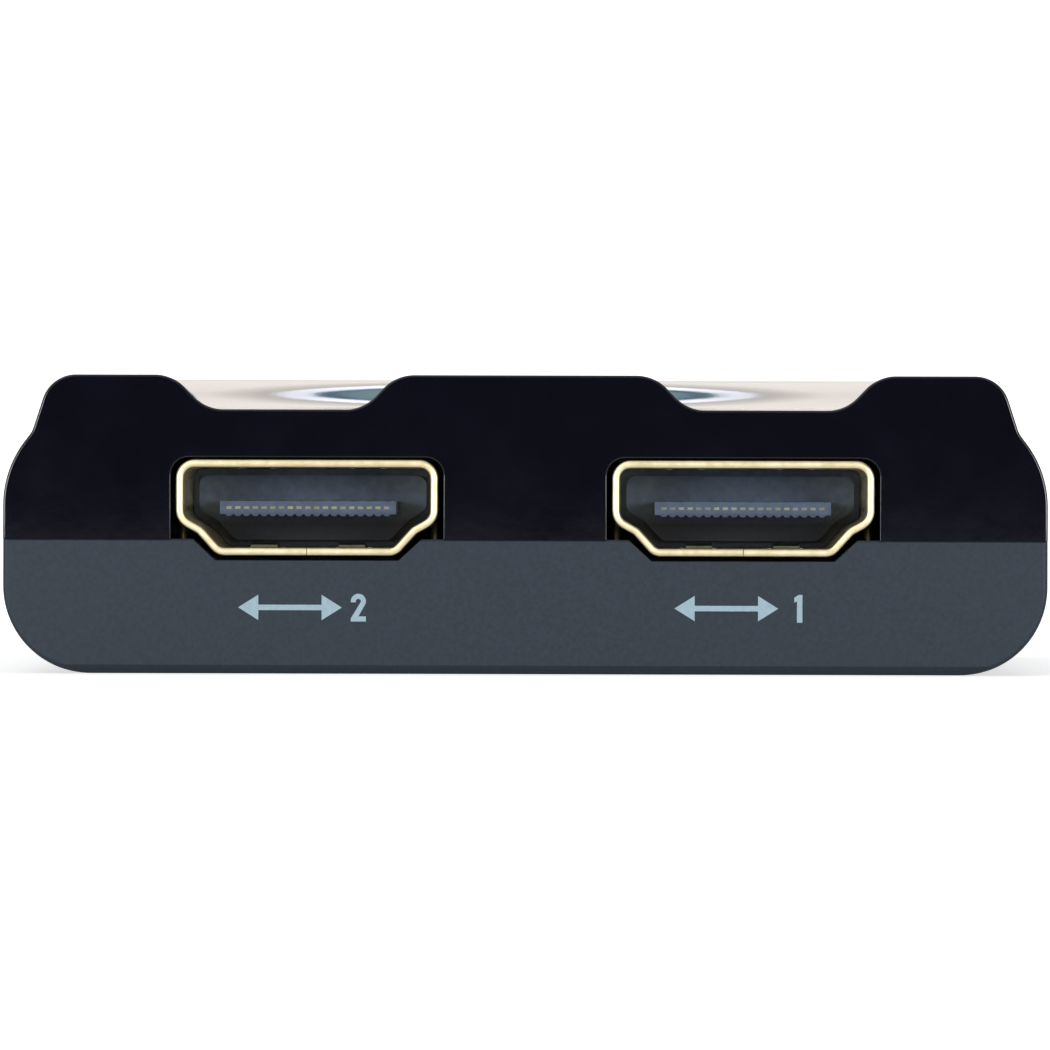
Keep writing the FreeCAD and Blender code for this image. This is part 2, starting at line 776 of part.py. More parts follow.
def socket_shell(name):
    """Folded metal shell of a socket: one sheet round the mouth, with springs, legs and a seam."""
    body = new_body(f"{name}_shell")
    sketch = new_sketch(body, "XZ", 0)
    draw_outline(sketch, mouth())
    core = pad(body, sketch, size("socket_length"), BACK, "XZ")
    ends = [f"Face{i}" for i, f in enumerate(body.Shape.Faces, start=1) if f.BoundBox.YLength < 1e-6]
    skin = body.newObject("PartDesign::Thickness", "sheet")
    skin.Base = (core, ends)
    skin.Mode, skin.Join, skin.Reversed = "Skin", "Arc", False
    bind(skin, "Value", size("sheet"))
    DOCUMENT.recompute()
    round_edges(body, size("rim_radius"), lambda edge: lies_on(edge, 1, as_size(0)))
    half_height, sheet = size("mouth_height") / 2, size("sheet")
    seam = new_sketch(body, "XY", -half_height + MARGIN / 2)
    draw_box(seam, -size("seam_width") / 2, size("seam_width") / 2, -as_size(MARGIN),
             size("socket_length") + MARGIN)
    pocket(body, seam, sheet + MARGIN, DOWN)
    add_springs(body, UP, "roof_spring")
    add_springs(body, DOWN, "floor_spring")
    add_legs(body)
    return body


def add_springs(body, side, kind):
    """Cuts two windows in the shell's roof or floor, and bends a spring tongue into each."""
    offset, start, length = size(f"{kind}_offset"), size(f"{kind}_start"), size(f"{kind}_length")
    level = side * (size("mouth_height") / 2)
    sheet, slot, width = size("sheet"), size("spring_slot"), size("spring_width")
    window = new_sketch(body, "XY", level + side * (sheet + MARGIN))
    for x in (offset, -offset):
        draw_box(window, x - width / 2 - slot, x + width / 2 + slot, start, start + length)
    pocket(body, window, sheet + MARGIN + MARGIN / 2, -side)
    dip, end = side * size(f"{kind}_dip"), start + length
    tongue = [
        (end + slot, level),
        (end + slot, level + side * sheet),
        (end, level + side * sheet),
        (start + slot + length / 6, level + side * sheet - dip),
        (start + slot, level + side * sheet - dip / 2),
        (start + slot, level - dip / 2),
        (start + slot + length / 6, level - dip),
        (end, level),
    ]
    sketch = new_sketch(body, "YZ", offset - width / 2)
    draw_outline(sketch, tongue)
    spring = pad(body, sketch, width, RIGHT, "YZ")
    mirror(body, [spring])


def add_legs(body):
    """Adds the four legs that carry the shell's side walls down through the board."""
    width, high = size("leg_width"), -size("mouth_side_drop") + size("mouth_side_radius")
    low = board_height - size("leg_reach") - port_axis
    shoulder = low + width / 3
    sketch = new_sketch(body, "YZ", size("mouth_width") / 2)
    for start in (size("leg_start"), size("rear_leg_start")):
        end = start + width
        draw_outline(sketch, [(start, high), (start, shoulder), (start + width / 4, low),
                              (end - width / 4, low), (end, shoulder), (end, high)])
    legs = pad(body, sketch, size("sheet"), RIGHT, "YZ")
    mirror(body, [legs])


def contact_row(body, first_x, count, side, drop_start):
    """One row of contacts: a tip in the tongue's nose, a run along its face, a drop and a tail."""
    thick, tip, tail_end = size("contact_thickness"), size("tongue_start"), size("tail_end")
    outer = side * (size("tongue_thickness") / 2 + size("contact_proud"))
    inner, half = outer - side * thick, side * thick / 2
    bend = tip + size("contact_nose")
    lifted = bend + size("contact_rise")
    board = board_top - port_axis
    far = drop_start + thick
    bends = [far, drop_start]
    foot = [(far, board + thick), (tail_end, board + thick), (tail_end, board), (drop_start, board)]
    if side < 0:
        bends.reverse()
        foot.reverse()
    profile = [
        (tip, half),
        (bend, half),
        (lifted, outer),
        (bends[0], outer),
        *foot,
        (bends[1], inner),
        (lifted + thick / 2, inner),
        (bend + thick / 2, -half),
        (tip, -half),
    ]
    sketch = new_sketch(body, "YZ", first_x - size("contact_width") / 2)
    draw_outline(sketch, profile)
    strip = pad(body, sketch, size("contact_width"), RIGHT, "YZ")
    repeat(body, strip, "X", size("contact_pitch"), count)


def socket_contacts(name):
    """The socket's nineteen contacts, in two staggered rows."""
    body = new_body(f"{name}_contacts")
    body.AllowCompound = True
    upper = size("upper_contacts")
    reach = size("contact_pitch") * (upper - 1) / 2
    contact_row(body, -reach, upper, 1, size("upper_drop_start"))
    contact_row(body, -reach + size("contact_pitch") / 2, upper - 1, -1, size("lower_drop_start"))
    return body


def socket_insulator(name, contacts, spot):
    """Black insulator: the tongue, its stop, the plug that fills the shell and the tail block."""
    blank = new_body(f"{name}_insulator_blank")
    stop = new_sketch(blank, "XZ", size("stop_start"))
    draw_outline(stop, mouth(size("stop_inset")))
    pad(blank, stop, size("plug_start") - size("stop_start") + MARGIN / 2, BACK, "XZ")
    plug = new_sketch(blank, "XZ", size("plug_start"))
    draw_outline(plug, mouth(size("plug_inset")))
    pad(blank, plug, size("socket_length") - size("plug_start") + MARGIN / 2, BACK, "XZ")
    half, thin = size("tongue_width") / 2, size("tongue_thickness") / 2
    tongue = new_sketch(blank, "XZ", size("tongue_start"))
    draw_box(tongue, -half, half, -thin, thin)
    pad(blank, tongue, size("stop_start") - size("tongue_start") + MARGIN / 2, BACK, "XZ")
    block = new_sketch(blank, "XZ", size("socket_length"))
    side, high = size("mouth_width") / 2, size("mouth_height") / 2
    draw_box(block, -side, side, board_top - port_axis, high)
    pad(blank, block, size("tail_block_length"), BACK, "XZ")
    place(blank, *spot)
    insulator = DOCUMENT.addObject("Part::Cut", f"{name}_insulator")
    insulator.Label = f"{name}_insulator"
    insulator.Base, insulator.Tool = blank, contacts
    return insulator


def sockets():
    """The three sockets: two on the front edge of the board and one on the rear edge."""
    made = []
    for name, x, y, way in ports:
        spot = (x, y, port_axis, 0.0 if way == BACK else 180.0)
        shell = socket_shell(name)
        contacts = socket_contacts(name)
        for body in (shell, contacts):
            place(body, *spot)
        DOCUMENT.recompute()
        made += [shell, contacts, socket_insulator(name, contacts, spot)]
    return made


def button_cap():
    """Round button: a dished crown on a hollow skirt, a flange that holds it in, and a stem."""
    body = new_body("button_cap")
    radius, flange, edge = size("button_radius"), size("flange_radius"), size("button_edge_radius")
    flange_low = flange_top - size("flange_height")
    crown_under = button_top - size("button_roof")
    skirt = radius - size("button_wall")
    sketch = new_sketch(body, "XZ", 0)
    draw_outline(sketch, [
        (0, plunger_top),
        (size("stem_radius"), plunger_top),
        (size("stem_radius"), crown_under),
        (skirt, crown_under),
        (skirt, flange_low),
        (flange, flange_low),
        (flange, flange_top),
        (radius, flange_top),
        (radius, button_top, edge),
        (size("button_dish_radius"), button_top, edge),
        (0, button_top - size("button_dish")),
    ])
    turn(body, sketch)
    return body


def board_switch():
    """The switch under the button: base, cover, plunger, snap dome and pins."""
    side, high = size("switch_side"), board_top + size("switch_height")
    floor, well = board_top + size("switch_floor"), size("switch_well_radius")
    base = new_body("switch_base_blank")
    block = new_sketch(base, "XY", board_top)
    draw_box(block, -side / 2, side / 2, -side / 2, side / 2, size("switch_corner"))
    pad(base, block, size("switch_height"), UP)
    cavity = new_sketch(base, "XY", high)
    draw_circle(cavity, 0, 0, well)
    pocket(base, cavity, size("switch_height") - size("switch_floor"), DOWN)
    pins = switch_pins(side)
    seated = DOCUMENT.addObject("Part::Cut", "switch_base")
    seated.Base, seated.Tool = base, pins
    return [seated, switch_cover(side, high), switch_plunger(high), switch_dome(floor), pins]


def switch_cover(side, high):
    """Metal cover plate with a tab folded down each side of the switch."""
    body = new_body("switch_cover")
    sheet, tab = size("cover_thickness"), size("cover_tab_width")
    inner, low = side / 2, high - size("cover_tab_drop")
    outer = inner + sheet
    sketch = new_sketch(body, "XZ", 0)
    draw_outline(sketch, mirrored([(inner, high), (inner, low), (outer, low), (outer, high + sheet)]))
    pad(body, sketch, tab, BACK, "XZ", both=True)
    plate = new_sketch(body, "XY", high)
    draw_box(plate, -side / 2, side / 2, -side / 2, side / 2)
    pad(body, plate, sheet, UP)
    hole = new_sketch(body, "XY", high - MARGIN)
    draw_circle(hole, 0, 0, size("cover_hole_radius"))
    pocket(body, hole, sheet + 2 * MARGIN, UP)
    return body


def switch_plunger(high):
    """Plunger whose flange is held under the cover, and whose shaft meets the button's stem."""
    body = new_body("switch_plunger")
    flange_high = high - size("guide_gap")
    flange_low = flange_high - size("plunger_flange_height")
    sketch = new_sketch(body, "XZ", 0)
    draw_outline(sketch, [
        (0, flange_low),
        (size("plunger_flange_radius"), flange_low),
        (size("plunger_flange_radius"), flange_high),
        (size("plunger_radius"), flange_high),
        (size("plunger_radius"), plunger_top),
        (0, plunger_top),
    ])
    turn(body, sketch)
    return body


def switch_dome(floor):
    """Thin snap dome on the switch's floor."""
    body = new_body("switch_dome")
    radius, rise, skin = size("dome_radius"), size("dome_rise"), size("dome_thickness")
    crown = size("dome_crown_radius")
    sketch = new_sketch(body, "XZ", 0)
    draw_outline(sketch, [
        (0, floor + rise - skin),
        (crown - skin, floor + rise - skin, crown),
        (radius - skin, floor),
        (radius, floor),
        (crown, floor + rise, crown),
        (0, floor + rise),
    ])
    turn(body, sketch)
    return body


def switch_pins(side):
    """Four feet that carry the switch's circuits out to the board, bent flat on it."""
    body = new_body("switch_pins")
    body.AllowCompound = True
    thick, spread = size("pin_thickness"), size("pin_spacing") / 2
    start, rise = side / 2 - size("pin_width"), size("switch_floor") / 2
    for sx in (1, -1):
        for y in (spread, -spread):
            sketch = new_sketch(body, "XZ", y)
            corners = [(start, rise), (start, rise + thick), (side / 2 + thick, rise + thick),
                       (side / 2 + thick, thick), (side / 2 + size("pin_reach"), thick),
                       (side / 2 + size("pin_reach"), 0), (side / 2, 0), (side / 2, rise)]
            draw_outline(sketch, [(sx * as_size(x), board_top + z) for x, z in corners])
            pad(body, sketch, size("pin_width"), BACK, "XZ", both=True)
    return body


def light_guides():
    """Clear guides that carry each lamp's light up to the roof."""
    made = []
    for number, (x, y) in enumerate(reversed(light_spots), start=1):
        body = new_body(f"light_guide_{number}")
        low = board_top + size("lamp_height") + size("guide_lift")
        sketch = new_sketch(body, "XZ", 0)
        draw_outline(sketch, [
            (0, low),
            (size("guide_shank_radius"), low),
            (size("guide_shank_radius"), core_ceiling),
            (size("guide_radius"), core_ceiling),
            (size("guide_radius"), top),
            (0, top),
        ])
        turn(body, sketch)
        place(body, x, y, 0)
        made.append(body)
    return made


def block_part(label, x, y, z, length, width, height):
    """A plain block standing on the board, by its middle."""
    block = DOCUMENT.addObject("Part::Box", label)
    for name, value in (("Length", length), ("Width", width), ("Height", height)):
        bind(block, name, value)
    place(block, x - length / 2, y - width / 2, z)
    return block


def group(label, blocks):
    """One node that holds several like pieces."""
    made = DOCUMENT.addObject("Part::Compound", label)
    made.Label = label
    made.Links = blocks
    return made


def lamps():
    """The two lamps on the board, under their guides."""
    made = []
    for number, (x, y) in enumerate(reversed(light_spots), start=1):
        label = f"lamp_{number}"
        made.append(block_part(label, x, y, board_top, size("lamp_length"), size("lamp_width"),
                               size("lamp_height")))
    return made


def switching_chip():
    """The chip that joins the common port to port 1 or port 2, and its pins."""
    body = new_body("switching_chip")
    side, x, y = size("chip_side"), size("chip_x"), size("chip_y")
    low = board_top + size("chip_lift")
    sketch = new_sketch(body, "XY", low)
    draw_box(sketch, x - side / 2, x + side / 2, y - side / 2, y + side / 2)
    pad(body, sketch, size("chip_height"), UP)
    pins = new_body("switching_chip_pins")
    pins.AllowCompound = True
    for plane, axis in (("XZ", "Y"), ("YZ", "X")):
        for way in (1, -1):
            chip_pin_row(pins, side / 2, plane, axis, way)
    place(pins, x, y, board_top)
    return [body, pins]


def chip_pin_row(body, edge, plane, axis, way):
    """One side's row of bent pins, drawn from the side about the chip's middle."""
    thick, reach, mid = size("chip_pin_thickness"), size("chip_pin_reach"), size("chip_height") / 2
    profile = [(0, mid), (0, mid + thick), (reach / 2, mid + thick), (reach / 2, thick), (reach, thick),
               (reach, 0), (reach / 2 - thick, 0), (reach / 2 - thick, mid)]
    pitch, count = size("chip_pitch"), size("chip_pins")
    sketch = new_sketch(body, plane, -pitch * (count - 1) / 2)
    draw_outline(sketch, [(way * (edge + out), up) for out, up in profile])
    pin = pad(body, sketch, size("chip_pin_width"), RIGHT, plane, both=True)
    repeat(body, pin, axis, pitch, count)


def small_parts():
    """Surge arrays behind each port, and the capacitors and resistors beside the switch."""
    arrays, capacitors, resistors = [], [], []
    arrays_per_port = int(SIZES["arrays_per_port"])
    length, width = size("capacitor_length"), size("capacitor_width")
    back = size("tail_end") + size("array_margin")
    for name, x, y, way in ports:
        for number in range(arrays_per_port):
            offset = size("array_pitch") * (number - (arrays_per_port - 1) / 2)
            arrays.append(block_part(f"{name}_array_{number}", x + offset, y + way * back, board_top,
                                     size("array_length"), size("array_width"), size("array_height")))
    for number in range(int(SIZES["capacitor_pairs"])):
        for side, hand in ((1, "right"), (-1, "left")):
            x, y = side * (size("small_part_x") + size("small_part_pitch") * number), size("small_part_y")
            capacitors.append(block_part(f"capacitor_{number}_{hand}", x, y, board_top, length, width,
                                         size("capacitor_height")))
            resistors.append(block_part(f"resistor_{number}_{hand}", x, y + size("small_row_pitch"),
                                        board_top, length, width, size("resistor_height")))
    return [group("surge_arrays", arrays), group("capacitors", capacitors), group("resistors", resistors)]


def case_screws():
    """Four screws that draw the shells together through the board."""
    made = []
    radius, seat = size("screw_radius"), size("screw_seat_height")
    head, high = size("screw_head_radius"), size("screw_head_height")
    for number, (x, y) in enumerate(screw_spots):
        body = new_body(f"screw_{number}")
        sketch = new_sketch(body, "XZ", 0)
        draw_outline(sketch, [
            (0, seat - high),
            (head, seat - high, high / 3),
            (head, seat),
            (radius, seat),
            (radius, seat + size("screw_length") - radius),
            (radius / 4, seat + size("screw_length")),
            (0, seat + size("screw_length")),
        ])
        turn(body, sketch)
        cross = new_sketch(body, "XY", seat - high - MARGIN)
        thin, span = size("screw_recess_width") / 2, size("screw_recess_span") / 2
        draw_box(cross, -span, span, -thin, thin)
        pocket(body, cross, size("screw_recess_depth") + MARGIN, UP)
        crossing = new_sketch(body, "XY", seat - high - MARGIN)
        draw_box(crossing, -thin, thin, -span, span)
        pocket(body, crossing, size("screw_recess_depth") + MARGIN, UP)
        place(body, x, y, 0)
        made.append(body)
    return [group("case_screws", made)]


def check(nodes):
    """Stops if any object failed, or a node's shape is missing or not valid."""
    DOCUMENT.recompute()
    for item in DOCUMENT.Objects:
        if "Invalid" in item.State or "Error" in item.State:
            raise RuntimeError(f"{item.Label} is {item.State}")
    for node in nodes:
        if node.Shape.isNull() or not node.Shape.isValid():
            raise RuntimeError(f"{node.Label} has no valid shape")
        print(f"{node.Label}: {len(node.Shape.Solids)} solids, {node.Shape.Volume:.2f} mm3")


def main():
    """Builds every piece, checks it and writes it to its own file."""
    nodes = [
        upper_shell(),
        lower_shell(),
        circuit_board(),
        *sockets(),
        button_cap(),
        *board_switch(),
        *light_guides(),
        *lamps(),
        *switching_chip(),
        *small_parts(),
        *case_screws(),
    ]
    check(nodes)
    os.makedirs("parts", exist_ok=True)
    for node in nodes:
        node.Shape.exportStep(f"parts/{node.Label}.step")


main()
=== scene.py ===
"""Looks of a two-way video switch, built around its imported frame.

The classes follow the object: two shells, three sockets, the push button, the snap dome under it,
the light guides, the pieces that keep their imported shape, and the print. Shapes are worked out in
millimetres, and a mesh is written in metres.
"""

from __future__ import annotations

import logging
import math
from dataclasses import dataclass
from enum import Enum
from typing import ClassVar, Sequence

import bmesh
import bpy
import numpy as np
from mathutils import Euler, Matrix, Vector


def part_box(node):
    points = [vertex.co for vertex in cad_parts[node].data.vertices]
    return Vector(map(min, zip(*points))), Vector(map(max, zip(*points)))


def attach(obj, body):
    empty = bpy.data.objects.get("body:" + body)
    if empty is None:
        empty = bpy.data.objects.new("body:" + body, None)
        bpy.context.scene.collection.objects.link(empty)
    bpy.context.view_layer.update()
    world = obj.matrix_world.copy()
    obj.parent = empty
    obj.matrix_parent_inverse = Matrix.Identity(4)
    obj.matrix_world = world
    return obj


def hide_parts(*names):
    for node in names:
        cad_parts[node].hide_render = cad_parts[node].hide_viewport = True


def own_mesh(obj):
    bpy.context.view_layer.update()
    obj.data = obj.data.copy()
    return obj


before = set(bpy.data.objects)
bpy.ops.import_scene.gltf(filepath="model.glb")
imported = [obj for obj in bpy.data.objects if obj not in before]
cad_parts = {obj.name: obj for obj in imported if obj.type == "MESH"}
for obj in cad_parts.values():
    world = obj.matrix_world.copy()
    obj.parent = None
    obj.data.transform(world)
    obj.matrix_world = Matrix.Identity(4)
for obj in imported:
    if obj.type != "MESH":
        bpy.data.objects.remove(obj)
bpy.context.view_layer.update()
LOG = logging.getLogger("video_switch")
CASE, BUTTON = "case", "button"
PORTS = ("port_1", "port_2", "port_3")
LIGHT_GUIDES = ("light_guide_1", "light_guide_2")
MM = 0.001
# The most degrees between two points of an arc, where nothing finer is asked for
ARC_STEP = 6.0
# How far a cutter runs past what it cuts, in millimetres
PAST = 1.0
# Points on the quarter circle of a small edge
EDGE_STEPS = 7
# The least length that a vector is divided by
LEAST_LENGTH = 1e-12
# Two heights closer than this, in millimetres, are the same
NEAR = 1e-6
# Points closer than this, in metres, are one
DOUBLED = 1e-7
# A face whose unit normal has a part as large as this looks straight along an axis
STRAIGHT = 0.99999
# Most of a noise texture lies between these, so its colours and its roughness run over them
NOISE_LOW, NOISE_HIGH = 0.3, 0.7


class Side(Enum):
    """A face of the case, with the way from it into the case along Y."""

    FRONT = 1
    REAR = -1


def linear(hex_code: str) -> tuple[float, float, float, float]:
    """Turns an sRGB hex colour into linear red, green, blue and alpha, by the sRGB curve."""
    values = np.array([int(hex_code[i:i + 2], 16) for i in (1, 3, 5)]) / 255
    bright = ((values + 0.055) / 1.055) ** 2.4
    return (*np.where(values > 0.04045, bright, values / 12.92), 1.0)


def per_mm(size: float) -> float:
    """The scale of a texture on Object coordinates whose features measure so many millimetres."""
    return 1 / (size * MM)


def add_node(tree: bpy.types.NodeTree, kind: str, settings: dict | None = None,
             links: dict | None = None) -> bpy.types.Node:
    """Adds a node with its settings and the links into it.

    Args:
        tree: The material's node tree.
        kind: The node's type, such as ShaderNodeBump.
        settings: Values by the name or number of the input socket, or the node's own attribute.
        links: By the name or number of the input socket, the node that feeds it and its output.

    Returns:
        The new node.
    """
    node = tree.nodes.new(kind)
    for name, value in (settings or {}).items():
        if isinstance(name, int) or name in node.inputs:
            node.inputs[name].default_value = value
        else:
            setattr(node, name, value)
    for name, (source, output) in (links or {}).items():
        tree.links.new(source.outputs[output], node.inputs[name])
    return node


@dataclass(frozen=True)
class Finish:
    """A plastic, ceramic or metal surface: a colour with a faint mottle, and its own grain."""

    name: str
    colour: str
    dark: str
    roughness: float
    metallic: float = 0.0
    ior: float = 1.5
    grain: float = 0.12
    relief: float = 0.004
    mottle: float = 0.6
    gloss_spread: float = 0.05
    stretch: tuple[float, float, float] = (1.0, 1.0, 1.0)

    def material(self) -> bpy.types.Material:
        """Makes the material, or gives back the one already made.

        Returns:
            The material: fine noise drives the bump, coarser noise the colour and the roughness.
        """
        if self.name in bpy.data.materials:
            return bpy.data.materials[self.name]
        made = bpy.data.materials.new(self.name)
        made.use_nodes = True
        tree = made.node_tree
        shader = tree.nodes["Principled BSDF"]
        shader.inputs["Metallic"].default_value = self.metallic
        shader.inputs["IOR"].default_value = self.ior
        where = add_node(tree, "ShaderNodeTexCoord")
        laid = add_node(tree, "ShaderNodeMapping", {"Scale": self.stretch},
                        {"Vector": (where, "Object")})
        fine = add_node(tree, "ShaderNodeTexNoise", {"Scale": per_mm(self.grain), "Detail": 3.0},
                        {"Vector": (laid, "Vector")})
        coarse = add_node(tree, "ShaderNodeTexNoise", {"Scale": per_mm(self.mottle), "Detail": 4.0},
                          {"Vector": (laid, "Vector")})
        tint = add_node(tree, "ShaderNodeValToRGB", {}, {"Fac": (coarse, "Fac")})
        ends = ((NOISE_LOW, self.dark), (NOISE_HIGH, self.colour))
        for stop, (place, colour) in zip(tint.color_ramp.elements, ends):
            stop.position, stop.color = place, linear(colour)
        tree.links.new(tint.outputs["Color"], shader.inputs["Base Color"])
        polish = add_node(tree, "ShaderNodeMapRange", {
            "From Min": NOISE_LOW, "From Max": NOISE_HIGH,
            "To Min": self.roughness - self.gloss_spread / 2,
            "To Max": self.roughness + self.gloss_spread / 2}, {"Value": (coarse, "Fac")})
        tree.links.new(polish.outputs["Result"], shader.inputs["Roughness"])
        bump = add_node(tree, "ShaderNodeBump", {"Distance": self.relief * MM},
                        {"Height": (fine, "Fac")})
        tree.links.new(bump.outputs["Normal"], shader.inputs["Normal"])
        self.extend(tree, shader)
        return made

    def extend(self, tree: bpy.types.NodeTree, shader: bpy.types.Node) -> None:
        """Adds what one finish has beyond the others; a plain finish adds nothing."""


@dataclass(frozen=True)
class ClearFinish(Finish):
    """A clear moulding that lets a share of the light through."""

    transmission: float = 0.85

    def extend(self, tree: bpy.types.NodeTree, shader: bpy.types.Node) -> None:
        """Makes the surface transmit light."""
        shader.inputs["Transmission Weight"].default_value = self.transmission


@dataclass(frozen=True)
class PaintedShadeFinish(Finish):
    """A moulding with painted shade: its colour is darker below its tongue, where the mouth lies in
    shade, than above it.

    The heights are in millimetres over the table, and the shade is the share of the colour that
    is left at the lower one.
    """

    low: float = 8.5
    high: float = 9.3
    shade: float = 0.12

    def extend(self, tree: bpy.types.NodeTree, shader: bpy.types.Node) -> None:
        """Paints shade: darkens the colour towards the lower height.

        Args:
            tree: The material's node tree.
            shader: Its surface shader, whose colour is already linked.
        """
        tint = shader.inputs["Base Color"].links[0].from_node
        where = add_node(tree, "ShaderNodeTexCoord")
        split = add_node(tree, "ShaderNodeSeparateXYZ", {}, {"Vector": (where, "Object")})
        fall = add_node(tree, "ShaderNodeMapRange", {
            "From Min": self.low * MM, "From Max": self.high * MM, "To Min": self.shade},
            {"Value": (split, "Z")})
        shaded = add_node(tree, "ShaderNodeMixRGB", {"blend_type": "MULTIPLY", "Fac": 1.0}, {
            "Color1": (tint, "Color"), "Color2": (fall, "Result")})
        tree.links.new(shaded.outputs["Color"], shader.inputs["Base Color"])


# ABS moulded in a polished tool: near black, with a slight ripple in its reflections
GLOSS_ABS = Finish("gloss_abs", "#0c0d1a", "#0a0b16", 0.06, grain=1.6, relief=0.002, mottle=3.0,
                   gloss_spread=0.03)
# ABS moulded in a fine spark-eroded tool: a dull sheen with a speckle that catches light
SATIN_ABS = Finish("satin_abs", "#2d3946", "#26313c", 0.46, ior=1.4, grain=0.13, relief=0.006,
                   mottle=0.22)
# Brass sheet with pale gold plating, rolled along the socket: a soft shine, drawn out along it
GOLD_PLATE = Finish("gold_plate", "#fbeec8", "#ecdcae", 0.36, metallic=1.0, grain=0.08,
                    relief=0.002, mottle=0.5, stretch=(1.0, 0.25, 1.0))
# The same plating on the springs, painted a dark grey gold as shade deep in the mouth
SPRING_PLATE_PAINTED_SHADE = Finish("rubbed_plate", "#5e5c4c", "#4e4c3f", 0.45, metallic=1.0, grain=0.08,
                      relief=0.003)
# Phosphor bronze strip with a thin gold plating: a greyish gold that shines a little
PLATED_BRONZE = Finish("plated_bronze", "#9c9884", "#807d6c", 0.34, metallic=1.0, grain=0.05,
                       relief=0.001)
# Glass-filled liquid-crystal polymer: a black moulding painted a pale blue-grey as light in the dim
# mouth, dull, with a faint mottle, and painted shade that darkens it below the tongue
DARK_POLYMER = PaintedShadeFinish("dark_polymer", "#58677f", "#4b596e", 0.5, ior=1.4, grain=0.1,
                           relief=0.006, mottle=0.5)
# ABS with an even satin face that a finger has polished a little
BUTTON_ABS = Finish("button_abs", "#1b1c20", "#15161a", 0.34, grain=0.15, relief=0.004, mottle=1.2)
# Nylon moulded in a plain tool, for the board switch: dull black, with a red plunger
SWITCH_NYLON = Finish("switch_nylon", "#1d1d1f", "#151517", 0.5)
PLUNGER_NYLON = Finish("plunger_nylon", "#8c2a22", "#741f1a", 0.45)
# Tin over steel or bronze: bright, a little cloudy
TINNED = Finish("tinned_sheet", "#d2d2cf", "#b4b4b0", 0.3, metallic=1.0, mottle=0.4)
# Zinc over turned steel: a bluish grey with a soft shine
ZINC_SCREW = Finish("zinc_screw", "#a7a9ad", "#85878c", 0.34, metallic=1.0, mottle=0.5)
# Solder mask over woven glass laminate: green, with a faint weave in its gloss
SOLDER_MASK = Finish("solder_mask", "#14583a", "#0f4630", 0.3, grain=0.4, relief=0.01, mottle=1.5)
# Epoxy moulded round a chip in a blasted tool: matt black
CHIP_EPOXY = Finish("chip_epoxy", "#26262a", "#1d1d20", 0.6, mottle=0.3)
# Fired ceramic with a matt skin
CERAMIC = Finish("ceramic", "#8f7355", "#7b6147", 0.55, mottle=0.3)
# Phosphor resin cast over a lamp's chip: a pale yellow with a wet shine
LAMP_RESIN = Finish("lamp_resin", "#ece6cc", "#ddd5b4", 0.25, ior=1.53)
# Polished acrylic rod: clear, and as smooth as glass
CLEAR_ACRYLIC = ClearFinish("clear_acrylic", "#f4f7f8", "#e9eef0", 0.05, ior=1.49, relief=0.0005)
# Pad-printed ink: matt, a little uneven over the grain below it
PRINT_INK = Finish("print_ink", "#b6d2de", "#a9c6d3", 0.5, grain=0.1, relief=0.004, mottle=0.25)


def unit(vectors: np.ndarray) -> np.ndarray:
    """Vectors of length one along the given ones, which are rows of their array."""
    return vectors / np.maximum(np.linalg.norm(vectors, axis=-1, keepdims=True), LEAST_LENGTH)


def rounded_outline(corners: Sequence[tuple[float, float, float]], arc_step: float = ARC_STEP,
                    line_step: float = 60.0) -> np.ndarray:
    """Samples a closed outline with rounded corners.

    A corner with a radius becomes an arc that touches both its sides, and the stretch between two
    arcs is divided into even steps.

    Args:
        corners: X, Y and radius of each corner, in order.
        arc_step: The most degrees between two points of an arc.
        line_step: The most millimetres between two points of a side.

    Returns:
        The points, one row each.
    """
    spots = np.array(corners, float)
    points, radii = spots[:, :2], spots[:, 2]
    back, on = unit(np.roll(points, 1, axis=0) - points), unit(np.roll(points, -1, axis=0) - points)
    half = np.arccos(np.clip((back * on).sum(1), -1, 1)) / 2
    reach = (radii / np.tan(half))[:, None]
    starts, ends = points + back * reach, points + on * reach
    runs = []
    for i, radius in enumerate(radii):
        if radius > 0:
            centre = points[i] + unit(back[i] + on[i]) * radius / math.sin(half[i])
            first, last = (math.atan2(*(p - centre)[::-1]) for p in (starts[i], ends[i]))
            sweep = (last - first + math.pi) % (2 * math.pi) - math.pi
            count = max(2, math.ceil(abs(math.degrees(sweep)) / arc_step))
            angles = first + sweep * np.linspace(0, 1, count + 1)
            runs.append(centre + radius * np.stack([np.cos(angles), np.sin(angles)], 1))
        else:
            runs.append(points[i:i + 1])
        gap = starts[(i + 1) % len(points)] - ends[i]
        steps = math.ceil(np.linalg.norm(gap) / line_step)
        runs.append(ends[i] + gap * (np.arange(1, max(steps, 1)) / max(steps, 1))[:, None])
    return np.concatenate(runs)


def outward(path: np.ndarray) -> np.ndarray:
    """Unit normals of closed anticlockwise paths: each halves the turn between two sides.

    Args:
        path: Points along the last axis but one, X and Y along the last.

    Returns:
        The normals, in the shape of the path.
    """
    before = unit(path - np.roll(path, 1, axis=-2))
    after = unit(np.roll(path, -1, axis=-2) - path)
    along = unit(before + after)
    return np.stack([along[..., 1], -along[..., 0]], -1)


def mirrored(half: Sequence[tuple[float, float, float]]) -> list[tuple[float, float, float]]:
    """The whole outline of a shape that is the same left and right, from its right half."""
    return [*half, *[(-x, y, r) for x, y, r in reversed(half)]]


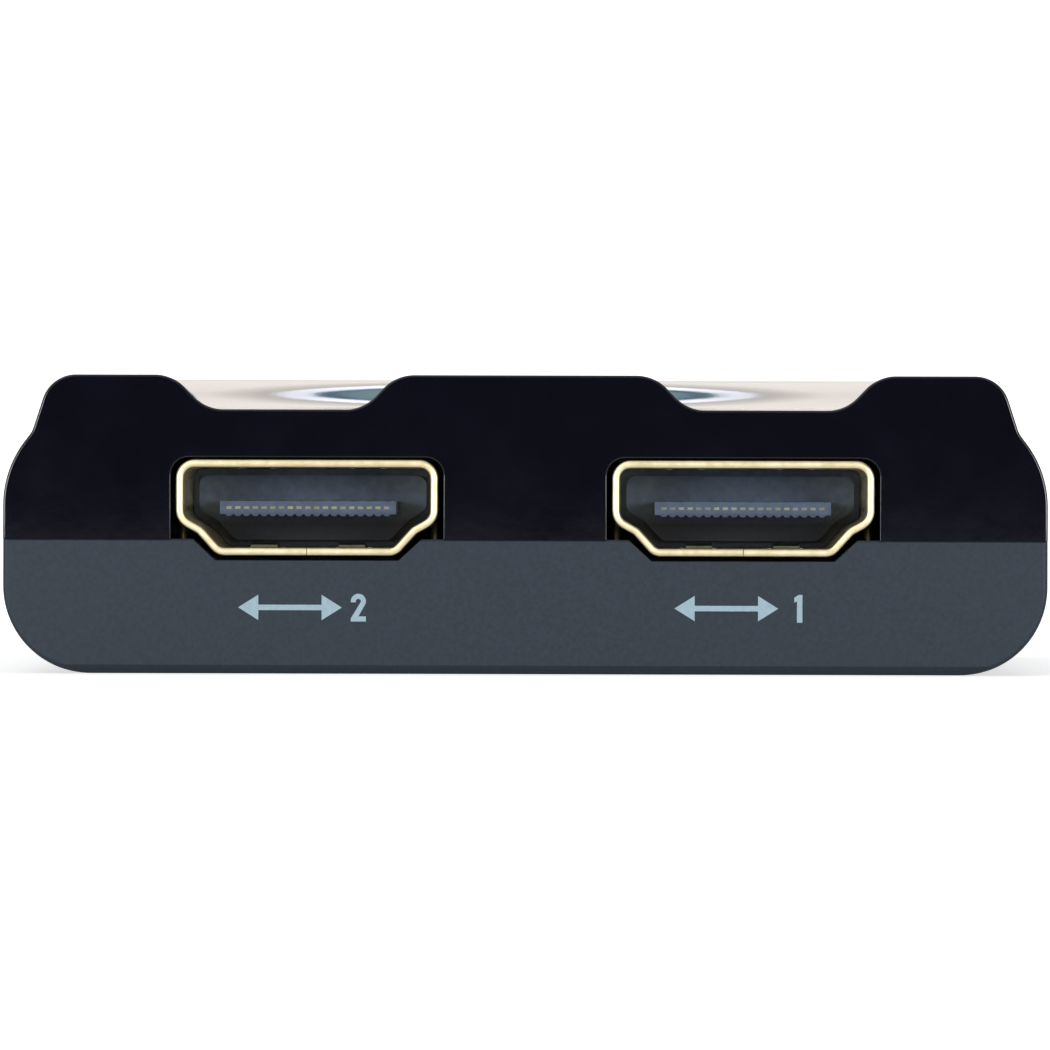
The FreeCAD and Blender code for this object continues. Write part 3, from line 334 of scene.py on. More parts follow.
def grid_faces(rows: int, columns: int, wrap_rows: bool, wrap_columns: bool) -> np.ndarray:
    """The quads of a grid of points, joined round at its ends where it wraps.

    Args:
        rows: How many rows of points.
        columns: How many points in a row.
        wrap_rows: Whether the last row joins the first.
        wrap_columns: Whether each row's last point joins its first.

    Returns:
        Four vertex numbers for each quad, with the points counted row by row.
    """
    index = np.arange(rows * columns).reshape(rows, columns)
    if wrap_rows:
        index = np.vstack([index, index[:1]])
    if wrap_columns:
        index = np.hstack([index, index[:, :1]])
    corners = [index[:-1, :-1], index[:-1, 1:], index[1:, 1:], index[1:, :-1]]
    return np.stack(corners, -1).reshape(-1, 4)


def make_object(name: str, points: np.ndarray, faces: list,
                smooth: int | None = None) -> bpy.types.Object:
    """Makes a mesh object from points in millimetres.

    Args:
        name: The object's name.
        points: The vertices, one row each.
        faces: The faces, as lists of vertex numbers.
        smooth: How many of the first faces are smooth; all of them if it isn't given.

    Returns:
        The object, with its faces pointing outwards and doubled vertices merged.
    """
    mesh = bpy.data.meshes.new(name)
    mesh.from_pydata((points.reshape(-1, 3) * MM).tolist(), [], [list(map(int, f)) for f in faces])
    flags = np.arange(len(mesh.polygons)) < (len(mesh.polygons) if smooth is None else smooth)
    mesh.polygons.foreach_set("use_smooth", flags)
    mended = bmesh.new()
    mended.from_mesh(mesh)
    bmesh.ops.remove_doubles(mended, verts=mended.verts, dist=DOUBLED)
    bmesh.ops.recalc_face_normals(mended, faces=mended.faces)
    mended.to_mesh(mesh)
    mended.free()
    made = bpy.data.objects.new(name, mesh)
    bpy.context.scene.collection.objects.link(made)
    return made


def tube(name: str, sections: np.ndarray) -> bpy.types.Object:
    """A closed solid through a row of closed sections, with a flat cap at each end.

    Args:
        name: The object's name.
        sections: The sections' points, in millimetres: one row of points for each section.

    Returns:
        The solid, smooth along its sides.
    """
    rows, columns = sections.shape[:2]
    sides = grid_faces(rows, columns, wrap_rows=False, wrap_columns=True)
    caps = [range(columns), range((rows - 1) * columns, rows * columns)]
    return make_object(name, sections, [*sides, *caps], len(sides))


class Axis(Enum):
    """The axis of the frame that a prism runs along, with the order of its outline's axes."""

    X = (2, 0, 1)
    Y = (0, 2, 1)
    Z = (0, 1, 2)


def prism(name: str, outline: np.ndarray, axis: Axis, low: float, high: float) -> bpy.types.Object:
    """A flat outline carried along an axis, from one position on it to another.

    Args:
        name: The object's name.
        outline: Its points: X and Z for a prism along Y, X and Y along Z, or Y and Z along X.
        axis: The axis that it runs along.
        low: Where it starts.
        high: Where it ends.

    Returns:
        The closed solid.
    """
    ends = [np.column_stack([outline, np.full(len(outline), level)]) for level in (low, high)]
    return tube(name, np.stack(ends)[:, :, list(axis.value)])


def flared(name: str, outline: np.ndarray, face: float, inward: int, reach: float,
           flare: float) -> bpy.types.Object:
    """A cutter through an end wall, which widens towards the wall's face.

    The outline moves out along its normals by a quarter circle of the flare's size, so that the
    opening's edge comes out round.

    Args:
        name: The object's name.
        outline: X and Z of its points, anticlockwise as drawn.
        face: Where the wall's face stands along Y.
        inward: The way into the case along Y.
        reach: How far past the face it goes.
        flare: The radius of the round edge.

    Returns:
        The closed solid.
    """
    turn = np.linspace(0, math.pi / 2, EDGE_STEPS)
    depth = np.concatenate([[-PAST], flare * (1 - np.cos(turn)), [reach]])
    grow = np.concatenate([[flare], flare * (1 - np.sin(turn)), [0.0]])
    path = outline[None] + outward(outline)[None] * grow[:, None, None]
    across = np.broadcast_to((face + inward * depth)[:, None], path.shape[:2])
    return tube(name, np.stack([path[..., 0], across, path[..., 1]], -1))


def circle(x: float, y: float, radius: float, count: int = 48) -> np.ndarray:
    """Points round a circle."""
    angles = np.linspace(0, 2 * math.pi, count, endpoint=False)
    return np.column_stack([x + radius * np.cos(angles), y + radius * np.sin(angles)])


def turned(name: str, profile: np.ndarray, x: float, y: float, count: int = 96) -> bpy.types.Object:
    """Turns a profile of radius and height about an upright axis: (r cos t, r sin t, z).

    Args:
        name: The object's name.
        profile: Radius and height of each point. A closed loop, or a run between two poles.
        x: Where the axis stands.
        y: Where the axis stands.
        count: The number of steps round.

    Returns:
        The solid of revolution.
    """
    angles = np.linspace(0, 2 * math.pi, count, endpoint=False)
    radius, height = profile[:, 0], profile[:, 1]
    rings = np.stack([
        x + radius[:, None] * np.cos(angles),
        y + radius[:, None] * np.sin(angles),
        np.repeat(height[:, None], count, 1),
    ], -1)
    return make_object(name, rings, list(grid_faces(len(profile), count, wrap_rows=False,
                                                    wrap_columns=True)))


def carve(piece: bpy.types.Object, cutters: Sequence[bpy.types.Object]) -> bpy.types.Object:
    """Takes other solids out of a piece, and removes them.

    Args:
        piece: The piece, which gets a new mesh.
        cutters: The solids that are taken out of it.

    Returns:
        The same piece.
    """
    for cutter in cutters:
        cut = piece.modifiers.new("carve", "BOOLEAN")
        cut.operation, cut.solver, cut.object = "DIFFERENCE", "EXACT", cutter
    graph = bpy.context.evaluated_depsgraph_get()
    mesh = bpy.data.meshes.new_from_object(piece.evaluated_get(graph))
    piece.modifiers.clear()
    piece.data = mesh
    for cutter in cutters:
        bpy.data.objects.remove(cutter)
    return piece


def sharpen(piece: bpy.types.Object, degrees: float = 35.0) -> bpy.types.Object:
    """Keeps the edges sharp where two faces meet at more than an angle.

    A face that looks straight along an axis of the frame is a flat wall, so it isn't blended.

    Args:
        piece: The piece, whose mesh is changed.
        degrees: The least angle of a sharp edge.

    Returns:
        The same piece.
    """
    mesh = piece.data
    mesh.set_sharp_from_angle(angle=math.radians(degrees))
    normals = np.zeros(len(mesh.polygons) * 3, np.float32)
    mesh.polygons.foreach_get("normal", normals)
    mesh.polygons.foreach_set("use_smooth", np.abs(normals).reshape(-1, 3).max(1) < STRAIGHT)
    return piece


def dress(piece: bpy.types.Object, body: str, finish: Finish,
          replaces: Sequence[str] = ()) -> bpy.types.Object:
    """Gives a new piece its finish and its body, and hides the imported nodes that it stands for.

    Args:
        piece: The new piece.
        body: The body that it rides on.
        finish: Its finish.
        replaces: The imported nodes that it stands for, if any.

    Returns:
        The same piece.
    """
    piece.data.materials.clear()
    piece.data.materials.append(finish.material())
    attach(piece, body)
    if replaces:
        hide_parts(*replaces)
    LOG.info("%s: %d vertices", piece.name, len(piece.data.vertices))
    return piece


def corners_of(node: str) -> tuple[np.ndarray, np.ndarray]:
    """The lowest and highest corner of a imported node, in millimetres."""
    low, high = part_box(node)
    return np.array(low) / MM, np.array(high) / MM


@dataclass
class Port:
    """Where one socket stands: its name, the middle of its mouth, and the face that it is on."""

    name: str
    x: float
    face: float
    height: float
    side: Side

    @staticmethod
    def all() -> list[Port]:
        """Reads the three sockets' places from the frame.

        Returns:
            The ports in the order of their numbers.
        """
        found = []
        for name in PORTS:
            low, high = corners_of(f"{name}_shell")
            side = Side.FRONT if low[1] < 0 else Side.REAR
            face = low[1] if side is Side.FRONT else high[1]
            roof = high[2] - Socket.sheet - Socket.mouth_height / 2
            found.append(Port(name, (low[0] + high[0]) / 2, face, roof, side))
        return found

    def place(self, local: np.ndarray) -> np.ndarray:
        """Puts points given about the mouth into the frame.

        Args:
            local: X, depth and height of each, along the last axis.

        Returns:
            The same points as X, Y and Z of the frame.
        """
        way = self.side.value
        return np.stack([
            self.x + way * local[..., 0],
            self.face + way * local[..., 1],
            self.height + local[..., 2],
        ], -1)


@dataclass
class CaseForm:
    """What the two shells share: the case's outline and the sizes of its walls."""

    parting: float = 7.65
    wall: float = 1.8
    roof_wall: float = 1.7
    edge_radius: float = 0.25
    edge_steps: int = 8
    mouth_flare: float = 0.07

    def __post_init__(self) -> None:
        """Reads the case's half width, half depth and top from its two packed shells."""
        self.half_width, self.half_depth = corners_of("lower_shell")[1][:2]
        self.top = corners_of("upper_shell")[1][2]

    def rows(self, further: np.ndarray) -> tuple[np.ndarray, np.ndarray]:
        """Where along Y a shell's section is repeated, and how far it is inset there.

        By its depth from the front face, a row goes round the edge on a quarter circle, and then
        back to the middle without an inset. The rear half is the same, mirrored.

        Args:
            further: The depths of the rows between the edge and the middle.

        Returns:
            Y and inset of each row, from front to rear.
        """
        turn = np.linspace(0, math.pi / 2, self.edge_steps)
        depth = np.concatenate([self.edge_radius * (1 - np.cos(turn)), further])
        inset = np.concatenate([self.edge_radius * (1 - np.sin(turn)), np.zeros(len(further))])
        y = np.concatenate([depth - self.half_depth, [0.0], (self.half_depth - depth)[::-1]])
        return y, np.concatenate([inset, [0.0], inset[::-1]])

    def through(self, name: str, outline: np.ndarray, side: Side) -> bpy.types.Object:
        """A cutter through one end wall.

        Args:
            name: The cutter's name.
            outline: X and Z of its points, anticlockwise as drawn.
            side: The face that the wall is on.

        Returns:
            The cutter, a little wider at the face.
        """
        face = -side.value * self.half_depth
        return flared(name, outline, face, side.value, self.wall + PAST, self.mouth_flare)


@dataclass
class UpperShell(CaseForm):
    """The glossy upper shell, with a shoulder down each side and scoops over the ports."""

    edge_radius: float = 0.12
    bend_height: float = 11.6
    bend_radius: float = 6.0
    shoulder_height: float = 13.75
    shoulder_inset: float = 1.65
    shoulder_radius: float = 1.5
    land_inset: float = 2.7
    land_radius: float = 2.0
    scoop_shift: float = 1.3
    scoop_floor: float = 8.9
    scoop_mouth: float = 12.72
    scoop_depth: float = 1.97
    scoop_radius: float = 2.4
    scoop_lead: float = 3.0
    ramp_start: float = 4.4
    ramp_run: float = 7.4
    ramp_radius: float = 26.0
    ramp_reach: float = 15.6
    flank_flare: float = 0.0088
    flank_inside: float = 1.05
    flank_outside: float = 1.4
    flank_points: int = 88
    roof_points: int = 60
    first_row: float = 0.5
    ramp_rows: int = 58
    rear_step: float = 1.0
    rear_rows: int = 6
    crease: float = 0.03
    crease_angle: float = 20.0
    opening_width: float = 15.5
    opening_radius: float = 1.0
    opening_gap: float = 0.16
    button_gap: float = 0.15
    guide_gap: float = 0.05
    rib_depth: float = 6.0
    rib_thickness: float = 1.2
    rib_gap: float = 0.02

    def section(self) -> np.ndarray:
        """The plain section, whose roof has close points over the scoops' flanks.

        Returns:
            X and Z of its points, anticlockwise from the lower right.
        """
        half, top = self.half_width, self.top
        plain = rounded_outline(mirrored([
            (half, self.parting, 0),
            (half, self.bend_height, self.bend_radius),
            (half - self.shoulder_inset, self.shoulder_height, self.shoulder_radius),
            (half - self.land_inset, top, self.land_radius),
        ]), arc_step=4.0)
        right = plain[plain[:, 0] > 0]
        flank = np.linspace(self.scoop_floor / 2 - self.flank_inside,
                            self.scoop_mouth / 2 + self.flank_outside, self.flank_points)
        close = [centre + side * flank
                 for centre in (*self.scoop_centres(), 0.0) for side in (-1, 1)]
        spread = np.linspace(-right[-1, 0], right[-1, 0], self.roof_points)[1:-1]
        roof = np.unique(np.round(np.concatenate([*close, spread]), 3))[::-1]
        return np.concatenate([right, np.column_stack([roof, np.full(len(roof), top)]),
                               right[::-1] * (-1, 1)])

    def scoop_centres(self) -> tuple[float, float]:
        """Where the two front scoops stand: a little outside the ports below them."""
        reach = max(port.x for port in Port.all()) + self.scoop_shift
        return -reach, reach

    def scoop_outline(self, centre: float) -> np.ndarray:
        """A scoop's outline: straight flanks from the roof to a flat floor, with round bends.

        Args:
            centre: X of the scoop's middle.

        Returns:
            X and Z of its points, from the roof left of it to the roof right of it.
        """
        mouth, floor, lead = self.scoop_mouth / 2, self.scoop_floor / 2, self.scoop_lead
        low, bend = self.top - self.scoop_depth, self.scoop_radius
        path = rounded_outline([
            (centre - mouth - lead, self.top, 0), (centre - mouth, self.top, bend),
            (centre - floor, low, bend), (centre + floor, low, bend),
            (centre + mouth, self.top, bend), (centre + mouth + lead, self.top, 0),
            (centre, self.top + lead, 0),
        ], arc_step=2.0, line_step=0.5)
        return path[:np.argmax(path[:, 0]) + 1]

    def ramp(self, depth: np.ndarray) -> np.ndarray:
        """The floor of a scoop: flat, then a hollow bend, a slope, a round bend, and the roof.

        Each bend is part of a circle that touches both its neighbours.

        Args:
            depth: How far each point is from the face that the scoop opens to.

        Returns:
            The height of each.
        """
        rise, radius = self.scoop_depth, self.ramp_radius
        slope = math.atan2(rise, self.ramp_run)
        reach = radius * math.tan(slope / 2)
        start, end = self.ramp_start - reach, self.ramp_start + self.ramp_run + reach
        bend = radius * math.sin(slope)
        up = np.clip(depth - start, 0, bend)
        down = np.clip(end - depth, 0, bend)
        hollow = radius - np.sqrt(radius ** 2 - up ** 2)
        crown = rise - radius + np.sqrt(radius ** 2 - down ** 2)
        line = (depth - self.ramp_start) * math.tan(slope)
        height = np.where(depth < start + bend, hollow, np.where(depth > end - bend, crown, line))
        return self.top - rise + np.where(depth > end, rise, height)

    def roof(self, x: np.ndarray, y: np.ndarray) -> np.ndarray:
        """The roof's height: over a scoop, the higher of its outline and its ramp, eased together.

        The outline widens with the depth from the face, so that the flanks open a little.

        Args:
            x: X of each point.
            y: Y of each point.

        Returns:
            The height of each.
        """
        depth = self.half_depth - np.abs(y)
        ramp = self.ramp(depth)
        height = np.full_like(x, self.top)
        for centre, near in (*((c, y < 0) for c in self.scoop_centres()), (0.0, y > 0)):
            path = self.scoop_outline(centre)
            narrowed = centre + (x - centre) * (1 - self.flank_flare * depth)
            outline = np.interp(narrowed, path[:, 0], path[:, 1], left=self.top, right=self.top)
            ease = np.clip(self.crease - np.abs(outline - ramp), 0, None) ** 2 / (4 * self.crease)
            here = np.minimum(np.maximum(outline, ramp) + ease, self.top)
            height = np.where(near, np.minimum(height, here), height)
        return height

    def build(self) -> bpy.types.Object:
        """Makes the shell: skin, rounded end edges, cavity, port openings and roof holes.

        Returns:
            The shell, dressed, without the ribs that hang in it.
        """
        section = self.section()
        y, insets = self.rows(np.concatenate([
            np.linspace(self.first_row, self.ramp_reach, self.ramp_rows),
            np.linspace(self.ramp_reach + self.rear_step, self.half_depth, self.rear_rows)[:-1]]))
        x, across = np.tile(section[:, 0], (len(y), 1)), np.tile(y[:, None], (1, len(section)))
        z = np.where(section[:, 1] >= self.top - NEAR, self.roof(x, across), section[:, 1])
        path = np.stack([x, z], -1)
        normals = outward(path)
        normals[:, [0, -1]] = [[1, 0], [-1, 0]]
        path = path - normals * insets[:, None, None]
        shell = tube("upper_shell_skin", np.stack([path[..., 0], across, path[..., 1]], -1))
        carve(shell, [self.cavity(), *self.openings(), *self.holes()])
        self.ribs()
        shell = sharpen(shell, self.crease_angle)
        return dress(shell, CASE, GLOSS_ABS, ["upper_shell"])

    def ceiling(self) -> float:
        """The height of the hollow's roof."""
        return self.top - self.scoop_depth - self.roof_wall

    def ribs(self) -> None:
        """Hangs a rib over each socket that keeps it down and closes the gap behind its opening."""
        half = self.opening_width / 2
        for port in Port.all():
            low = port.height + Socket.mouth_height / 2 + Socket.sheet + self.rib_gap
            outline = np.array([(port.x - half, low), (port.x + half, low),
                                (port.x + half, self.ceiling()), (port.x - half, self.ceiling())])
            near = port.side.value * (self.rib_depth - self.half_depth)
            far = near + port.side.value * self.rib_thickness
            rib = prism(f"{port.name}_rib", outline, Axis.Y, min(near, far), max(near, far))
            dress(sharpen(rib), CASE, GLOSS_ABS)

    def cavity(self) -> bpy.types.Object:
        """What the shell's hollow takes away.

        Returns:
            A cutter along Y, between the two end walls.
        """
        inner, ceiling = self.half_width - self.wall, self.ceiling()
        outline = rounded_outline(mirrored([
            (inner, self.parting - PAST, 0),
            (inner, self.bend_height - self.wall / 3, self.bend_radius - self.wall),
            (inner - self.shoulder_inset, ceiling, self.shoulder_radius / 2),
        ]))
        reach = self.half_depth - self.wall
        return prism("cavity", outline, Axis.Y, -reach, reach)

    def openings(self) -> list[bpy.types.Object]:
        """What the openings round the sockets take away.

        Returns:
            A cutter for each port.
        """
        half, bend, cuts = self.opening_width / 2, self.opening_radius, []
        for port in Port.all():
            high = port.height + Socket.mouth_height / 2 + Socket.sheet + self.opening_gap
            outline = rounded_outline([
                (port.x - half, self.parting - PAST, 0), (port.x + half, self.parting - PAST, 0),
                (port.x + half, high, bend), (port.x - half, high, bend)])
            cuts.append(self.through("opening", outline, port.side))
        return cuts

    def holes(self) -> list[bpy.types.Object]:
        """What the button's hole and the light guides' holes take away.

        Returns:
            A cutter for each hole.
        """
        low, top = self.parting, self.top + PAST
        radius = corners_of("button_cap")[1][0] - PushButton.flange_step + self.button_gap
        cuts = [prism("hole", circle(0, 0, radius, count=96), Axis.Z, low, top)]
        for node in LIGHT_GUIDES:
            first, last = corners_of(node)
            middle = (first + last) / 2
            radius = LightGuide.radius + self.guide_gap
            cuts.append(prism("hole", circle(middle[0], middle[1], radius), Axis.Z, low, top))
        return cuts


@dataclass
class LowerShell(CaseForm):
    """The satin lower shell: a tray with round lower corners and a bevel under each end face."""

    base_radius: float = 5.0
    bevel: float = 0.5
    groove: float = 0.1
    notch_top: float = 6.5
    notch_floor: float = 5.2
    notch_gap: float = 0.3
    well_radius: float = 2.0
    well_depth: float = 2.3
    screw_head: float = 1.8
    crease_angle: float = 28.0

    def build(self) -> bpy.types.Object:
        """Makes the tray: skin, rounded end edges, bevels, cavity, notches and screw wells.

        The bevel lifts what is lower than a slope of 45 degrees from the face, and the groove
        lowers the rim at the face.

        Returns:
            The tray, dressed.
        """
        half = self.half_width
        section = rounded_outline(
            [(-half, self.parting, 0), (-half, 0, self.base_radius), (half, 0, self.base_radius),
             (half, self.parting, 0)], arc_step=3.0)
        y, insets = self.rows(np.array([0.8 * self.bevel, self.bevel, 2 * self.bevel,
                                        self.half_depth / 2]))
        normals = outward(section)
        normals[[0, -1]] = [[-1, 0], [1, 0]]
        path = section[None] - normals[None] * insets[:, None, None]
        slope = self.bevel - (self.half_depth - np.abs(y))[:, None]
        z = np.maximum(path[..., 1], slope)
        groove = np.clip(self.groove - (self.half_depth - np.abs(y)), 0, None)
        z[:, [0, -1]] -= groove[:, None]
        across = np.tile(y[:, None], (1, len(section)))
        shell = tube("lower_shell_skin", np.stack([path[..., 0], across, z], -1))
        carve(shell, [self.cavity(), *self.notches(), *self.wells()])
        shell = sharpen(shell, self.crease_angle)
        return dress(shell, CASE, SATIN_ABS, ["lower_shell"])

    def cavity(self) -> bpy.types.Object:
        """What the tray's hollow takes away.

        Returns:
            A cutter along Y, between the two end walls.
        """
        inner, reach = self.half_width - self.wall, self.half_depth - self.wall
        bend = self.base_radius - self.wall
        outline = rounded_outline([(-inner, self.parting + PAST, 0), (-inner, self.wall, bend),
                                   (inner, self.wall, bend), (inner, self.parting + PAST, 0)])
        return prism("cavity", outline, Axis.Y, -reach, reach)

    def notches(self) -> list[bpy.types.Object]:
        """What the sloping notches under the sockets take away.

        Returns:
            A cutter for each port.
        """
        cuts = []
        for port in Port.all():
            floor = port.height - Socket.mouth_height / 2 - Socket.sheet - self.notch_gap
            outline = np.array([
                (-self.notch_floor, floor), (self.notch_floor, floor),
                (self.notch_top, self.parting), (self.notch_top, self.parting + PAST),
                (-self.notch_top, self.parting + PAST), (-self.notch_top, self.parting),
            ]) + (port.x, 0)
            cuts.append(self.through("notch", outline, port.side))
        return cuts

    def wells(self) -> list[bpy.types.Object]:
        """What the wells round the four screw heads take away.

        Returns:
            A cutter for each well, one in each corner of the screws' box.
        """
        x, y = corners_of("case_screws")[1][:2] - self.screw_head
        places = [(sx * x, sy * y) for sx in (-1, 1) for sy in (-1, 1)]
        return [prism("well", circle(*place, self.well_radius), Axis.Z, -PAST, self.well_depth)
                for place in places]


@dataclass(frozen=True)
class Spring:
    """One spring tongue of a socket, in its roof where up is 1, and in its floor where up is -1."""

    x: float
    up: int
    start: float
    length: float
    dip: float


@dataclass
class Socket:
    """One socket: a folded gold shell with springs and legs, round an insulator with contacts.

    Its points are given about the mouth: X, depth from the face and height.
    """

    port: Port
    sheet: float = 0.42
    mouth_width: float = 14.0
    mouth_height: float = 4.55
    floor_half: float = 4.9
    floor_bend: float = 0.5
    knee: tuple[float, float, float] = (5.95, -1.11, 1.0)
    side_low: float = -0.53
    side_bend: float = 0.7
    roof_bend: float = 0.6
    length: float = 11.0
    rows: tuple[float, float, float] = (8.0, 4.0, 1.0)
    rim_swell: float = 0.04
    rim_power: float = 0.8
    rim_points: int = 13
    seam: float = 0.04
    cut_start: float = 0.3
    springs: tuple[Spring, ...] = (
        Spring(x=3.2, up=1, start=3.2, length=5.6, dip=0.0),
        Spring(x=-3.2, up=1, start=3.2, length=5.6, dip=0.0),
        Spring(x=2.5, up=-1, start=1.6, length=5.0, dip=0.3),
        Spring(x=-2.5, up=-1, start=1.6, length=5.0, dip=0.3))
    spring_width: float = 1.5
    spring_slot: float = 0.3
    spring_tip: float = 0.2
    spring_rows: int = 24
    leg_starts: tuple[float, float] = (3.2, 8.6)
    leg_width: float = 1.6
    leg_top: float = 0.1
    tongue_thickness: float = 0.75
    tongue_start: float = 1.48
    contacts: int = 19
    contact_pitch: float = 0.5
    lug: tuple[float, float] = (0.4, 0.14)
    lug_length: float = 0.6
    lug_root: float = 0.02
    lug_points: int = 9

    def mouth(self) -> np.ndarray:
        """The inside outline of the mouth: eight corners, each with its own bend.

        Returns:
            X and height of its points, anticlockwise.
        """
        half_width, half_height = self.mouth_width / 2, self.mouth_height / 2
        return rounded_outline(mirrored([
            (self.floor_half, -half_height, self.floor_bend), self.knee,
            (half_width, self.side_low, self.side_bend),
            (half_width, half_height, self.roof_bend)]), arc_step=9.0, line_step=0.8)

    def wall(self) -> np.ndarray:
        """The sheet's section: straight, with a rolled edge at the rim.

        The edge is half a superellipse, fuller than a circle, and swells a little past the sheet.

        Returns:
            Offset from the mouth's outline and depth of its points, which run from the inner end
            round the rim.
        """
        radius = (self.sheet + self.rim_swell) / 2
        turn, power = np.linspace(0, math.pi, self.rim_points), self.rim_power
        across = np.sign(np.cos(turn)) * np.abs(np.cos(turn)) ** power
        nose = np.column_stack([radius - radius * across, radius - radius * np.sin(turn) ** power])
        inner = np.array([(0, depth) for depth in (self.length, *self.rows)])
        outer = np.array([(self.sheet, depth) for depth in (*self.rows[:0:-1], self.length)])
        return np.concatenate([inner, nose, outer])

    def build(self) -> list[bpy.types.Object]:
        """Makes the gold shell with its springs and legs, and the comb on the insulator.

        Returns:
            The dressed pieces.
        """
        path, section, name = self.mouth(), self.wall(), self.port.name
        offset = path[None] + outward(path)[None] * section[:, 0][:, None, None]
        depth = np.broadcast_to(section[:, 1][:, None], offset.shape[:2])
        skin = self.port.place(np.stack([offset[..., 0], depth, offset[..., 1]], -1))
        faces = grid_faces(*skin.shape[:2], wrap_rows=True, wrap_columns=True)
        shell = carve(make_object(f"{name}_sheet", skin, list(faces)), self.windows())
        made = [dress(sharpen(shell), CASE, GOLD_PLATE, [f"{name}_shell"])]
        for number, spring in enumerate(self.springs):
            strip = sharpen(self.strip(f"{name}_spring_{number}", spring))
            # The springs' plating is painted dark, as shade deep in the mouth
            made.append(dress(strip, CASE, SPRING_PLATE_PAINTED_SHADE))
        for number, (way, start) in enumerate((way, y) for way in (-1, 1) for y in self.leg_starts):
            leg = self.leg(f"{name}_leg_{number}", way, start)
            made.append(dress(leg, CASE, GOLD_PLATE))
        made.append(dress(self.comb(), CASE, DARK_POLYMER))
        return made

    def comb(self) -> bpy.types.Object:
        """The row of round lugs under the tongue's nose: half an elliptic cylinder at each contact.

        Returns:
            All lugs as one object.
        """
        turn = np.linspace(math.pi, 2 * math.pi, self.lug_points)
        low = -self.tongue_thickness / 2 + self.lug_root
        lug = np.column_stack([self.lug[0] / 2 * np.cos(turn), low + self.lug[1] * np.sin(turn)])
        places = (np.arange(self.contacts) - (self.contacts - 1) / 2) * self.contact_pitch
        depths = self.tongue_start + np.array([0.0, self.lug_length])
        rings = np.zeros((len(places), 2, len(turn), 3))
        rings[..., 0] = places[:, None, None] + lug[:, 0]
        rings[..., 1] = depths[None, :, None]
        rings[..., 2] = lug[:, 1]
        count = len(turn)
        sides = grid_faces(2, count, wrap_rows=False, wrap_columns=True)
        one = [*sides.tolist(), list(range(count)), list(range(count, 2 * count))]
        faces = [[v + 2 * count * i for v in face] for i in range(len(places)) for face in one]
        return make_object(f"{self.port.name}_comb", self.port.place(rings), faces, smooth=0)

    def windows(self) -> list[bpy.types.Object]:
        """What the seam and the windows round the springs take away.

        Returns:
            A cutter for each, through the sheet from within the mouth.
        """
        inside, outside = self.mouth_height / 2 - self.cut_start, self.mouth_height / 2 + PAST
        wide, thin = self.spring_width / 2 + self.spring_slot, self.seam / 2
        cuts = [self.box(spring.x - wide, spring.x + wide, spring.start,
                         spring.start + spring.length, spring.up * inside, spring.up * outside)
                for spring in self.springs]
        return [*cuts, self.box(-thin, thin, -PAST, self.length + PAST, -inside, -outside)]

    def box(self, left: float, right: float, near: float, far: float, low: float,
            high: float) -> bpy.types.Object:
        """A plain cutter between limits given about the mouth.

        Args:
            left: Its least X.
            right: Its greatest X.
            near: Its least depth.
            far: Its greatest depth.
            low: The height of its first end.
            high: The height of its second end, which may be the lower one.

        Returns:
            The cutter.
        """
        corners = np.array([(left, near), (right, near), (right, far), (left, far)])
        layers = [np.column_stack([corners, np.full(4, level)]) for level in (low, high)]
        return tube("cutter", self.port.place(np.stack(layers)))

    def strip(self, name: str, spring: Spring) -> bpy.types.Object:
        """A spring's strip, which bows into the mouth.

        From its tip the bow rises in a straight line from half the dip to the whole, and from there
        it falls to none as half a cosine.

        Args:
            name: The object's name.
            spring: The spring.

        Returns:
            The strip.
        """
        along, tip = np.linspace(0, 1, self.spring_rows), self.spring_tip
        y = spring.start + self.spring_slot + (spring.length - self.spring_slot) * along
        fall = 0.5 + 0.5 * np.cos((along - tip) / (1 - tip) * math.pi)
        bow = np.where(along < tip, 0.5 + 0.5 * along / tip, fall)
        inner = self.mouth_height / 2 - spring.dip * bow
        half, outer = self.spring_width / 2, inner + self.sheet
        corners = ((-half, inner), (half, inner), (half, outer), (-half, outer))
        loop = [np.column_stack([np.full(len(y), spring.x + x), y, spring.up * z])
                for x, z in corners]
        return tube(name, self.port.place(np.stack(loop, 1)))

    def leg(self, name: str, way: int, start: float) -> bpy.types.Object:
        """A leg: a tapered plate from a side wall down through the board.

        Args:
            name: The object's name.
            way: The side of the mouth, as the sign of X.
            start: The depth at which it starts.

        Returns:
            The leg.
        """
        low = corners_of(f"{self.port.name}_shell")[0][2] - self.port.height
        width, top = self.leg_width, self.leg_top
        outline = np.array([(start, top), (start, low + width / 3), (start + width / 4, low),
                            (start + width * 3 / 4, low), (start + width, low + width / 3),
                            (start + width, top)])
        sides = [self.mouth_width / 2 * way, (self.mouth_width / 2 + self.sheet) * way]
        layers = [np.column_stack([np.full(len(outline), side), outline]) for side in sides]
        return tube(name, self.port.place(np.stack(layers)))


@dataclass
class PushButton:
    """The round cap in the roof, with a dished crown and a soft edge."""

    flange_step: float = 0.9
    edge: float = 0.35
    dish: float = 0.35
    dish_radius: float = 4.0
    dish_points: int = 16
    skirt: float = 2.4

    def build(self) -> bpy.types.Object:
        """Makes the crown and skirt: the dish falls with the square of the radius.

        Returns:
            The cap, dressed.
        """
        high = corners_of("button_cap")[1]
        radius, top = high[0] - self.flange_step, high[2]
        out = np.linspace(0, 1, self.dish_points)
        dish = np.column_stack([out * self.dish_radius, top - self.dish * (1 - out ** 2)])
        turn = np.linspace(0, math.pi / 2, EDGE_STEPS)
        edge = np.column_stack([radius - self.edge + self.edge * np.sin(turn),
                                top - self.edge + self.edge * np.cos(turn)])
        base = np.array([(radius, top - self.skirt), (0, top - self.skirt)])
        cap = turned("button_crown", np.concatenate([dish, edge, base]), 0, 0)
        return dress(sharpen(cap), BUTTON, BUTTON_ABS, ["button_cap"])


